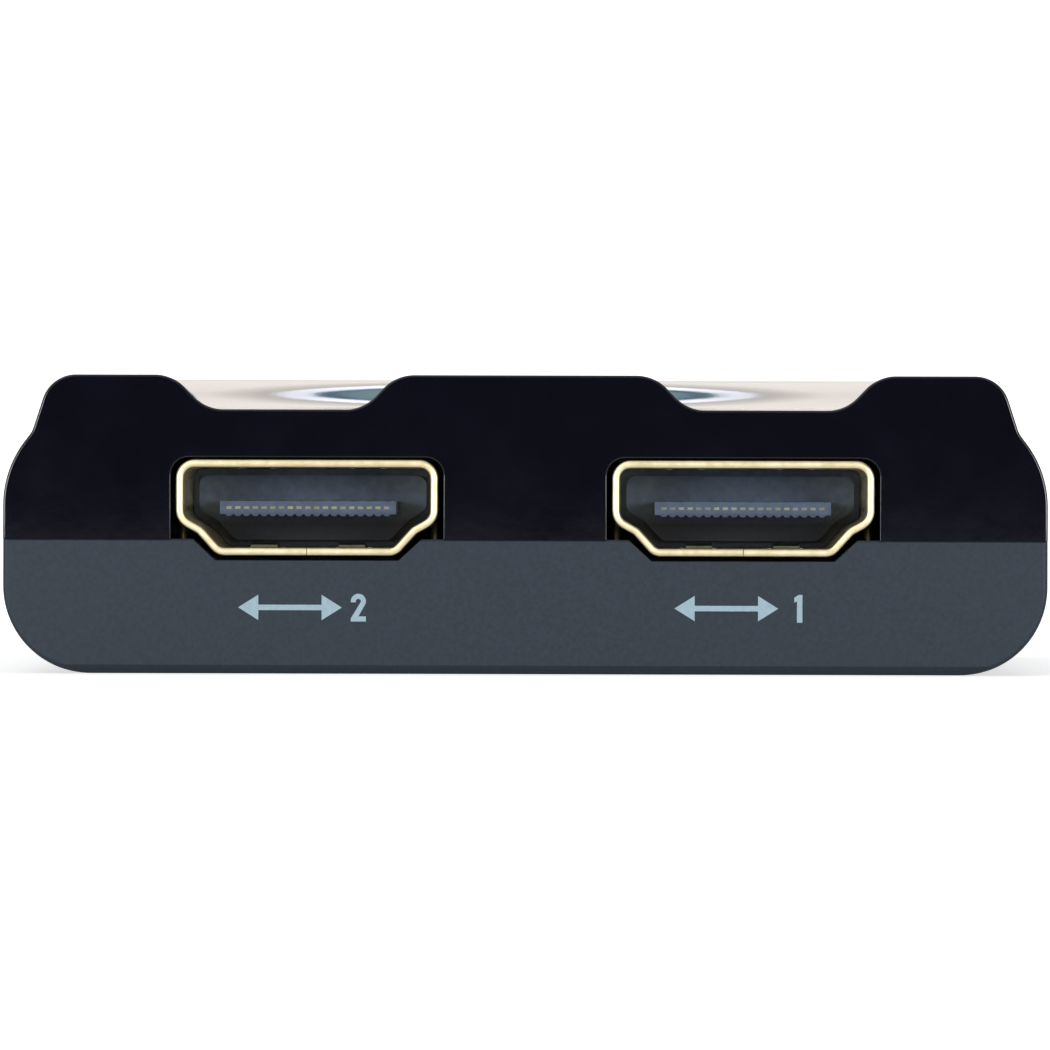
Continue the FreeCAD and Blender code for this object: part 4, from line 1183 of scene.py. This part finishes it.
@dataclass
class SnapDome:
    """The thin steel dome under the plunger, which flattens as the button goes down."""

    crown: float = 1.0
    skin: float = 0.1
    press: float = 0.5

    def build(self) -> bpy.types.Object:
        """Makes the dome.

        Its profile is an upturned cup of even thickness, with a rounded shoulder.

        Returns:
            The dome, dressed.
        """
        low, high = corners_of("switch_dome")
        radius, top, foot = high[0], high[2], low[2]
        inner = top - self.skin
        profile = rounded_outline([
            (0, inner, 0), (self.crown - self.skin, inner, self.crown),
            (radius - self.skin, foot, 0), (radius, foot, 0),
            (self.crown, top, self.crown), (0, top, 0)])
        dome = sharpen(turned("snap_dome", profile, 0, 0, count=48))
        dress(dome, CASE, TINNED, ["switch_dome"])
        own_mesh(dome)
        return dome


@dataclass
class LightGuide:
    """A clear rod whose end shows flush in the roof."""

    radius: float = 1.0
    shank: float = 1.3
    neck: float = 1.7
    edge: float = 0.08

    def build(self, node: str) -> bpy.types.Object:
        """Makes the rod in the place of its node.

        Args:
            node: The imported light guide.

        Returns:
            The rod, dressed.
        """
        low, high = corners_of(node)
        x, y = (low[:2] + high[:2]) / 2
        top, step = high[2], high[2] - self.neck
        profile = np.array([
            (0, low[2]), (self.shank, low[2]), (self.shank, step), (self.radius, step),
            (self.radius, top - self.edge), (self.radius - self.edge, top), (0, top)])
        rod = turned(f"{node}_rod", profile, x, y, count=40)
        return dress(sharpen(rod), CASE, CLEAR_ACRYLIC, [node])


class PackedPieces:
    """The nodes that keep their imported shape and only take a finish."""

    finishes: ClassVar[dict[str, Finish]] = {
        "circuit_board": SOLDER_MASK,
        "switch_base": SWITCH_NYLON,
        "switch_cover": TINNED,
        "switch_plunger": PLUNGER_NYLON,
        "switch_pins": TINNED,
        "lamp_1": LAMP_RESIN,
        "lamp_2": LAMP_RESIN,
        "switching_chip": CHIP_EPOXY,
        "switching_chip_pins": TINNED,
        "surge_arrays": CHIP_EPOXY,
        "capacitors": CERAMIC,
        "resistors": CHIP_EPOXY,
        "case_screws": ZINC_SCREW,
        **{f"{port}_insulator": DARK_POLYMER for port in PORTS},
        **{f"{port}_contacts": PLATED_BRONZE for port in PORTS},
    }

    def build(self) -> None:
        """Gives each kept node its finish."""
        for node, finish in self.finishes.items():
            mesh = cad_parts[node].data
            mesh.materials.clear()
            mesh.materials.append(finish.material())
            LOG.info("%s: %s", node, finish.name)


@dataclass
class Print:
    """The print on the lower shell: by each front port a two-way arrow and a plain number."""

    height: float = 3.77
    ink: float = 0.02
    digit: float = 1.58
    digit_end: float = 3.37
    arrow_shift: float = -0.95
    arrow_length: float = 5.9
    arrow_head: tuple[float, float] = (1.15, 0.72)
    stroke: float = 0.31
    flag: float = 0.15
    flag_nib: float = 0.09
    flag_top: float = 0.16
    flag_foot: float = 0.45
    bow_width: float = 0.86
    bow_stroke: float = 0.29
    bow_end: float = -20.0
    bow_points: int = 21
    bow_low: float = 0.06

    def build(self) -> None:
        """Prints the arrow and the number of each front port, numbered from the right."""
        front = sorted((port for port in Port.all() if port.side is Side.FRONT), key=lambda p: -p.x)
        for port, digit in zip(front, (self.one(), self.two())):
            end = port.x + self.digit_end - np.max(digit[:, 0])
            self.lay(f"{port.name}_digit", digit + (end, self.height - self.digit / 2))
            self.lay(f"{port.name}_arrow", self.arrow() + (port.x + self.arrow_shift, self.height))

    def lay(self, name: str, outline: np.ndarray) -> None:
        """Prints a filled outline on the front face.

        Args:
            name: What the print shows.
            outline: X and Z of its points.
        """
        face = -CaseForm().half_depth - self.ink
        points = np.column_stack([outline[:, 0], np.full(len(outline), face), outline[:, 1]])
        ink = make_object(f"print_{name}", points, [range(len(points))], smooth=0)
        dress(ink, CASE, PRINT_INK)

    def one(self) -> np.ndarray:
        """The number one: a stem with a flag.

        Returns:
            X and Z of its points from its lower left corner.
        """
        left, top = self.flag, self.digit
        right, foot = left + self.stroke, top - self.flag_foot
        return np.array([(left, 0), (right, 0), (right, top), (left + self.flag_nib, top),
                         (0, top - self.flag_top), (0, foot), (left, foot + self.flag_nib)])

    def two(self) -> np.ndarray:
        """The number two: a bow, which is part of a ring, a slope and a foot.

        Returns:
            X and Z of its points from its lower left corner.
        """
        wide, stroke = self.bow_width, self.bow_stroke
        middle = np.array([wide / 2, self.digit - wide / 2])
        angles = np.radians(np.linspace(180, self.bow_end, self.bow_points))
        bow = np.column_stack([np.cos(angles), np.sin(angles)])
        outer, inner = middle + bow * wide / 2, middle + bow[::-1] * (wide / 2 - stroke)
        foot = [(stroke * 1.5, stroke), (wide, stroke), (wide, 0), (0, 0), (0, stroke * 0.6)]
        ends = [(stroke, middle[1] - self.bow_low), (0, middle[1] - self.bow_low)]
        return np.concatenate([outer, foot, inner, ends])

    def arrow(self) -> np.ndarray:
        """An arrow with a head at both ends.

        Returns:
            X and Z of its points about its middle.
        """
        half, thin, (head, wide) = self.arrow_length / 2, self.stroke / 2, self.arrow_head
        neck = half - head
        right = [(0, -thin), (neck, -thin), (neck, -wide), (half, 0), (neck, wide), (neck, thin),
                 (0, thin)]
        left = [(-a, b) for a, b in reversed(right[1:-1])]
        return np.array([*right, *left])


@dataclass(frozen=True)
class Ramp:
    """A strength that follows a value, in a straight line between a start and an end.

    It keeps the first strength before the start, and the last one after the end.
    """

    start: float
    end: float
    first: float
    last: float

    def add(self, tree: bpy.types.NodeTree, source: tuple[bpy.types.Node, str]) -> bpy.types.Node:
        """Adds the node that works the strength out.

        Args:
            tree: The node tree.
            source: The node that gives the value, and its output.

        Returns:
            The node, whose output is called Result.
        """
        return add_node(tree, "ShaderNodeMapRange", {
            "From Min": self.start, "From Max": self.end,
            "To Min": self.first, "To Max": self.last}, {"Value": source})


@dataclass(frozen=True)
class Lamp:
    """A soft lamp, in metres and watts."""

    name: str
    place: tuple[float, float, float]
    span: tuple[float, float]
    power: float

    def hang(self) -> None:
        """Puts the lamp in its place, so that it faces the object."""
        data = bpy.data.lights.new(self.name, "AREA")
        data.shape, data.energy = "RECTANGLE", self.power
        data.size, data.size_y = self.span
        lamp = bpy.data.objects.new(self.name, data)
        bpy.context.scene.collection.objects.link(lamp)
        x, y, z = lamp.location = self.place
        lamp.rotation_euler = (math.atan2(math.hypot(x, y), z), 0, math.atan2(x, -y))


@dataclass
class Oval:
    """A tall oval with a white rim and a dusky middle, which only reflections show."""

    place: tuple[float, float, float] = (-7.3, 480.0, 466.0)
    size: tuple[float, float] = (42.3, 300.0)
    reach: float = 1.3
    stops: tuple[tuple[float, str], ...] = (
        (0.72, "#7d9298"), (0.82, "#71888f"), (0.86, "#3f5a6e"), (0.89, "#4a6478"),
        (0.91, "#f2f5ff"))
    strength: float = 3.3
    dimmed: Ramp = Ramp(1.0, 1.2, 0.55, 1.0)

    def build(self) -> bpy.types.Object:
        """Makes the plane that the oval is drawn on.

        Returns:
            The plane.
        """
        wide, tall = self.size
        corners = np.array([(-wide, 0, -tall), (wide, 0, -tall), (wide, 0, tall), (-wide, 0, tall)])
        oval = make_object("oval", corners * self.reach + self.place, [range(4)])
        oval.visible_camera = oval.visible_diffuse = False
        oval.visible_transmission = oval.visible_shadow = False
        oval.data.materials.append(self.material())
        return oval

    def material(self) -> bpy.types.Material:
        """Draws the oval by the distance from its middle, which is one at the rim.

        Past the rim it only dims what is behind it.

        Returns:
            The material.
        """
        wide, tall = self.size
        made = bpy.data.materials.new("oval_lamp")
        made.use_nodes = True
        tree = made.node_tree
        tree.nodes.clear()
        where = add_node(tree, "ShaderNodeTexCoord")
        laid = add_node(tree, "ShaderNodeMapping", {
            "vector_type": "TEXTURE", "Location": np.array(self.place) * MM,
            "Scale": (wide * MM, 1.0, tall * MM)}, {"Vector": (where, "Object")})
        radius = add_node(tree, "ShaderNodeVectorMath", {"operation": "LENGTH"},
                          {0: (laid, "Vector")})
        tint = add_node(tree, "ShaderNodeValToRGB", {}, {"Fac": (radius, "Value")})
        for place, colour in self.stops:
            tint.color_ramp.elements.new(place).color = linear(colour)
        for spare in (tint.color_ramp.elements[-1], tint.color_ramp.elements[0]):
            tint.color_ramp.elements.remove(spare)
        lit = add_node(tree, "ShaderNodeEmission", {"Strength": self.strength},
                       {"Color": (tint, "Color")})
        past = self.dimmed.add(tree, (radius, "Value"))
        clear = add_node(tree, "ShaderNodeBsdfTransparent", {}, {"Color": (past, "Result")})
        rim = add_node(tree, "ShaderNodeMath", {"operation": "GREATER_THAN", 1: 1.0},
                       {0: (radius, "Value")})
        mixed = add_node(tree, "ShaderNodeMixShader", {}, {
            0: (rim, "Value"), 1: (lit, "Emission"), 2: (clear, "BSDF")})
        add_node(tree, "ShaderNodeOutputMaterial", {}, {"Surface": (mixed, "Shader")})
        return made


@dataclass
class Studio:
    """A white floor and backdrop, soft lamps, and the camera in front of the two-port face.

    The camera's side of the room stays dark in reflections, which keeps the glossy face black, and
    the backdrop's middle is lit brighter towards its top, which the polished scoops mirror. Sizes
    are in millimetres. The room's ramps follow a part of a unit direction, and the floor's and the
    wall's ramps follow metres.
    """

    distance: float = 380.0
    view_width: float = 59.66
    eye: tuple[float, float] = (4.0, 9.4)
    aim: tuple[float, float] = (0.0, 8.49)
    roll: float = 0.15
    sensor: float = 36.0
    half_room: float = 900.0
    floor_front: float = -2000.0
    floor_gap: float = 0.02
    backdrop: float = 600.0
    wall_height: float = 900.0
    ambient: float = 0.3
    room_front: Ramp = Ramp(-0.985, -0.94, 0.02, 1.0)
    room_ring: Ramp = Ramp(-0.8, -0.4, 2.1, 1.0)
    room_roof: Ramp = Ramp(0.06, 0.3, 1.0, 0.4)
    floor_mirrored: Ramp = Ramp(-0.35, -0.2, 0.0, 0.3)
    floor_seen: Ramp = Ramp(0.06, 0.2, 0.65, 1.0)
    wall_base: float = 0.6
    wall_rise: Ramp = Ramp(0.09, 0.35, 0.0, 1.75)
    wall_middle: Ramp = Ramp(0.1, 0.22, 1.0, 0.0)
    lamps: tuple[Lamp, ...] = (
        Lamp("left", (-0.32, -0.6, 0.065), (0.3, 0.12), 1.0),
        Lamp("right", (0.32, -0.6, 0.065), (0.3, 0.12), 1.0),
        Lamp("key", (-0.35, -0.45, 0.55), (0.5, 0.5), 0.8),
        Lamp("top", (0.0, 0.12, 0.6), (0.6, 0.6), 0.9))

    def build(self) -> None:
        """Sets up everything round the object."""
        scene = bpy.context.scene
        scene.view_settings.view_transform = "Standard"
        self.camera(scene)
        self.world(scene)
        self.surround()
        for lamp in self.lamps:
            lamp.hang()

    def camera(self, scene: bpy.types.Scene) -> None:
        """Puts a long lens in front of the ports, a little above the middle of the face.

        Args:
            scene: The scene that gets the camera.
        """
        data = bpy.data.cameras.new("view")
        data.sensor_width = self.sensor
        data.lens = self.sensor * self.distance / self.view_width
        eye = bpy.data.objects.new("view", data)
        scene.collection.objects.link(eye)
        face = -CaseForm().half_depth
        start = np.array([self.eye[0], face - self.distance, self.eye[1]])
        aim = np.array([self.aim[0], face, self.aim[1]])
        to = aim - start
        eye.location = start * MM
        turned_up, turned_left = math.atan2(to[2], to[1]), -math.atan2(to[0], to[1])
        roll = Matrix.Rotation(math.radians(self.roll), 3, "Z")
        look = Euler((math.pi / 2 + turned_up, 0, turned_left)).to_matrix()
        eye.rotation_euler = (look @ roll).to_euler()
        data.clip_start, data.clip_end = 0.01, 10.0
        scene.camera = eye

    @staticmethod
    def glow(tree: bpy.types.NodeTree, kind: str, reflected: tuple[bpy.types.Node, str],
             camera: bpy.types.Node | None = None,
             tint: str = "#ffffff") -> tuple[bpy.types.Node, bpy.types.Node]:
        """A glow that the camera sees white, and reflections and glass at a strength of their own.

        Args:
            tree: The node tree of a material or of the world.
            kind: The glow's node type.
            reflected: The node and output with its strength in reflections and in glass.
            camera: The ramp of its strength for the camera; full white if it isn't given.
            tint: The glow's colour in reflections.

        Returns:
            The glow, and the node that is one for camera, glossy and transmitted rays.
        """
        rays = add_node(tree, "ShaderNodeLightPath")
        mirror = add_node(tree, "ShaderNodeMath", {"operation": "MAXIMUM"}, {
            0: (rays, "Is Glossy Ray"), 1: (rays, "Is Transmission Ray")})
        shown = add_node(tree, "ShaderNodeMath", {"operation": "MAXIMUM"}, {
            0: (mirror, "Value"), 1: (rays, "Is Camera Ray")})
        far = add_node(tree, "ShaderNodeMath", {"operation": "MULTIPLY"}, {
            0: (mirror, "Value"), 1: reflected})
        level = add_node(tree, "ShaderNodeMath", {"operation": "MULTIPLY_ADD", 1: 1.0}, {
            0: (rays, "Is Camera Ray"), 2: (far, "Value")})
        if camera:
            tree.links.new(camera.outputs["Result"], level.inputs[1])
        shade = add_node(tree, "ShaderNodeMixRGB", {
            "Color1": linear(tint), "Color2": linear("#ffffff")}, {"Fac": (rays, "Is Camera Ray")})
        lit = add_node(tree, kind, {}, {"Color": (shade, "Color"), "Strength": (level, "Value")})
        return lit, shown

    def world(self, scene: bpy.types.Scene) -> None:
        """A dim even light, and a white room for the camera and for reflections.

        The room is dark round the camera, brightest in a ring round that, and dusky overhead.

        Args:
            scene: The scene that gets the world.
        """
        made = bpy.data.worlds.new("studio")
        scene.world = made
        made.use_nodes = True
        tree = made.node_tree
        tree.nodes.clear()
        dim = add_node(tree, "ShaderNodeBackground", {
            "Color": linear("#eef1f5"), "Strength": self.ambient})
        where = add_node(tree, "ShaderNodeTexCoord")
        split = add_node(tree, "ShaderNodeSeparateXYZ", {}, {"Vector": (where, "Generated")})
        front = self.room_front.add(tree, (split, "Y"))
        ring = self.room_ring.add(tree, (split, "Y"))
        roof = self.room_roof.add(tree, (split, "Z"))
        both = add_node(tree, "ShaderNodeMath", {"operation": "MULTIPLY"}, {
            0: (front, "Result"), 1: (ring, "Result")})
        room = add_node(tree, "ShaderNodeMath", {"operation": "MULTIPLY"}, {
            0: (both, "Value"), 1: (roof, "Result")})
        lit, shown = self.glow(tree, "ShaderNodeBackground", (room, "Value"))
        mixed = add_node(tree, "ShaderNodeMixShader", {}, {
            0: (shown, "Value"), 1: (dim, "Background"), 2: (lit, "Background")})
        add_node(tree, "ShaderNodeOutputWorld", {}, {"Surface": (mixed, "Shader")})

    def surround(self) -> None:
        """The floor, the backdrop, and the oval that hangs before it for the scoops to mirror."""
        side, front, back = self.half_room, self.floor_front, self.backdrop
        low, high = -self.floor_gap, self.wall_height
        flat = np.array([(-side, front, low), (side, front, low), (side, back, low),
                         (-side, back, low)])
        upright = np.array([(-side, back, 0), (side, back, 0), (side, back, high),
                            (-side, back, high)])
        floor = make_object("floor", flat, [range(4)])
        wall = make_object("backdrop", upright, [range(4)])
        floor.data.materials.append(self.floor_paper())
        wall.data.materials.append(self.wall_paper())
        for thing in (floor, wall, Oval().build()):
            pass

    def floor_paper(self) -> bpy.types.Material:
        """White paper that keeps the object's shadow, and glows more to the camera further away.

        Returns:
            The material.
        """
        tree, where, split = self.paper("floor_paper")
        distance = add_node(tree, "ShaderNodeVectorMath", {"operation": "LENGTH"},
                            {0: (where, "Object")})
        mirrored_level = self.floor_mirrored.add(tree, (split, "Y"))
        seen_level = self.floor_seen.add(tree, (distance, "Value"))
        lit, _ = self.glow(tree, "ShaderNodeEmission", (mirrored_level, "Result"), seen_level)
        return self.lay(tree, lit, "floor_paper")

    def wall_paper(self) -> bpy.types.Material:
        """White paper, whose middle is warm and grows brighter upwards in reflections.

        Its sides are a pale grey there, and what the middle adds to that fades out to both sides.

        Returns:
            The material.
        """
        tree, _, split = self.paper("wall_paper")
        added = self.wall_rise.add(tree, (split, "Z"))
        across = add_node(tree, "ShaderNodeMath", {"operation": "ABSOLUTE"}, {0: (split, "X")})
        middle = self.wall_middle.add(tree, (across, "Value"))
        level = add_node(tree, "ShaderNodeMath", {"operation": "MULTIPLY_ADD", 2: self.wall_base}, {
            0: (added, "Result"), 1: (middle, "Result")})
        lit, _ = self.glow(tree, "ShaderNodeEmission", (level, "Value"), tint="#fff5ec")
        return self.lay(tree, lit, "wall_paper")

    @staticmethod
    def paper(name: str) -> tuple[bpy.types.NodeTree, bpy.types.Node, bpy.types.Node]:
        """An empty material with its Object coordinates, whole and split.

        Args:
            name: The material's name.

        Returns:
            Its node tree, the coordinates' node, and the node that splits them.
        """
        made = bpy.data.materials.new(name)
        made.use_nodes = True
        tree = made.node_tree
        tree.nodes.clear()
        where = add_node(tree, "ShaderNodeTexCoord")
        split = add_node(tree, "ShaderNodeSeparateXYZ", {}, {"Vector": (where, "Object")})
        return tree, where, split

    @staticmethod
    def lay(tree: bpy.types.NodeTree, lit: bpy.types.Node, name: str) -> bpy.types.Material:
        """Adds the glow to matt white.

        Args:
            tree: The material's node tree.
            lit: The glow.
            name: The material's name.

        Returns:
            The material.
        """
        matt = add_node(tree, "ShaderNodeBsdfDiffuse", {"Color": linear("#e6e6e6")})
        both = add_node(tree, "ShaderNodeAddShader", {}, {0: (matt, "BSDF"), 1: (lit, "Emission")})
        add_node(tree, "ShaderNodeOutputMaterial", {}, {"Surface": (both, "Shader")})
        return bpy.data.materials[name]


def main() -> None:
    """Builds every sub-assembly in order, then the studio."""
    logging.basicConfig(level=logging.INFO, format="%(name)s %(message)s")
    UpperShell().build()
    LowerShell().build()
    for port in Port.all():
        Socket(port).build()
    PushButton().build()
    SnapDome().build()
    for node in LIGHT_GUIDES:
        LightGuide().build(node)
    PackedPieces().build()
    Print().build()
    Studio().build()


if __name__ == "__main__":
    main()
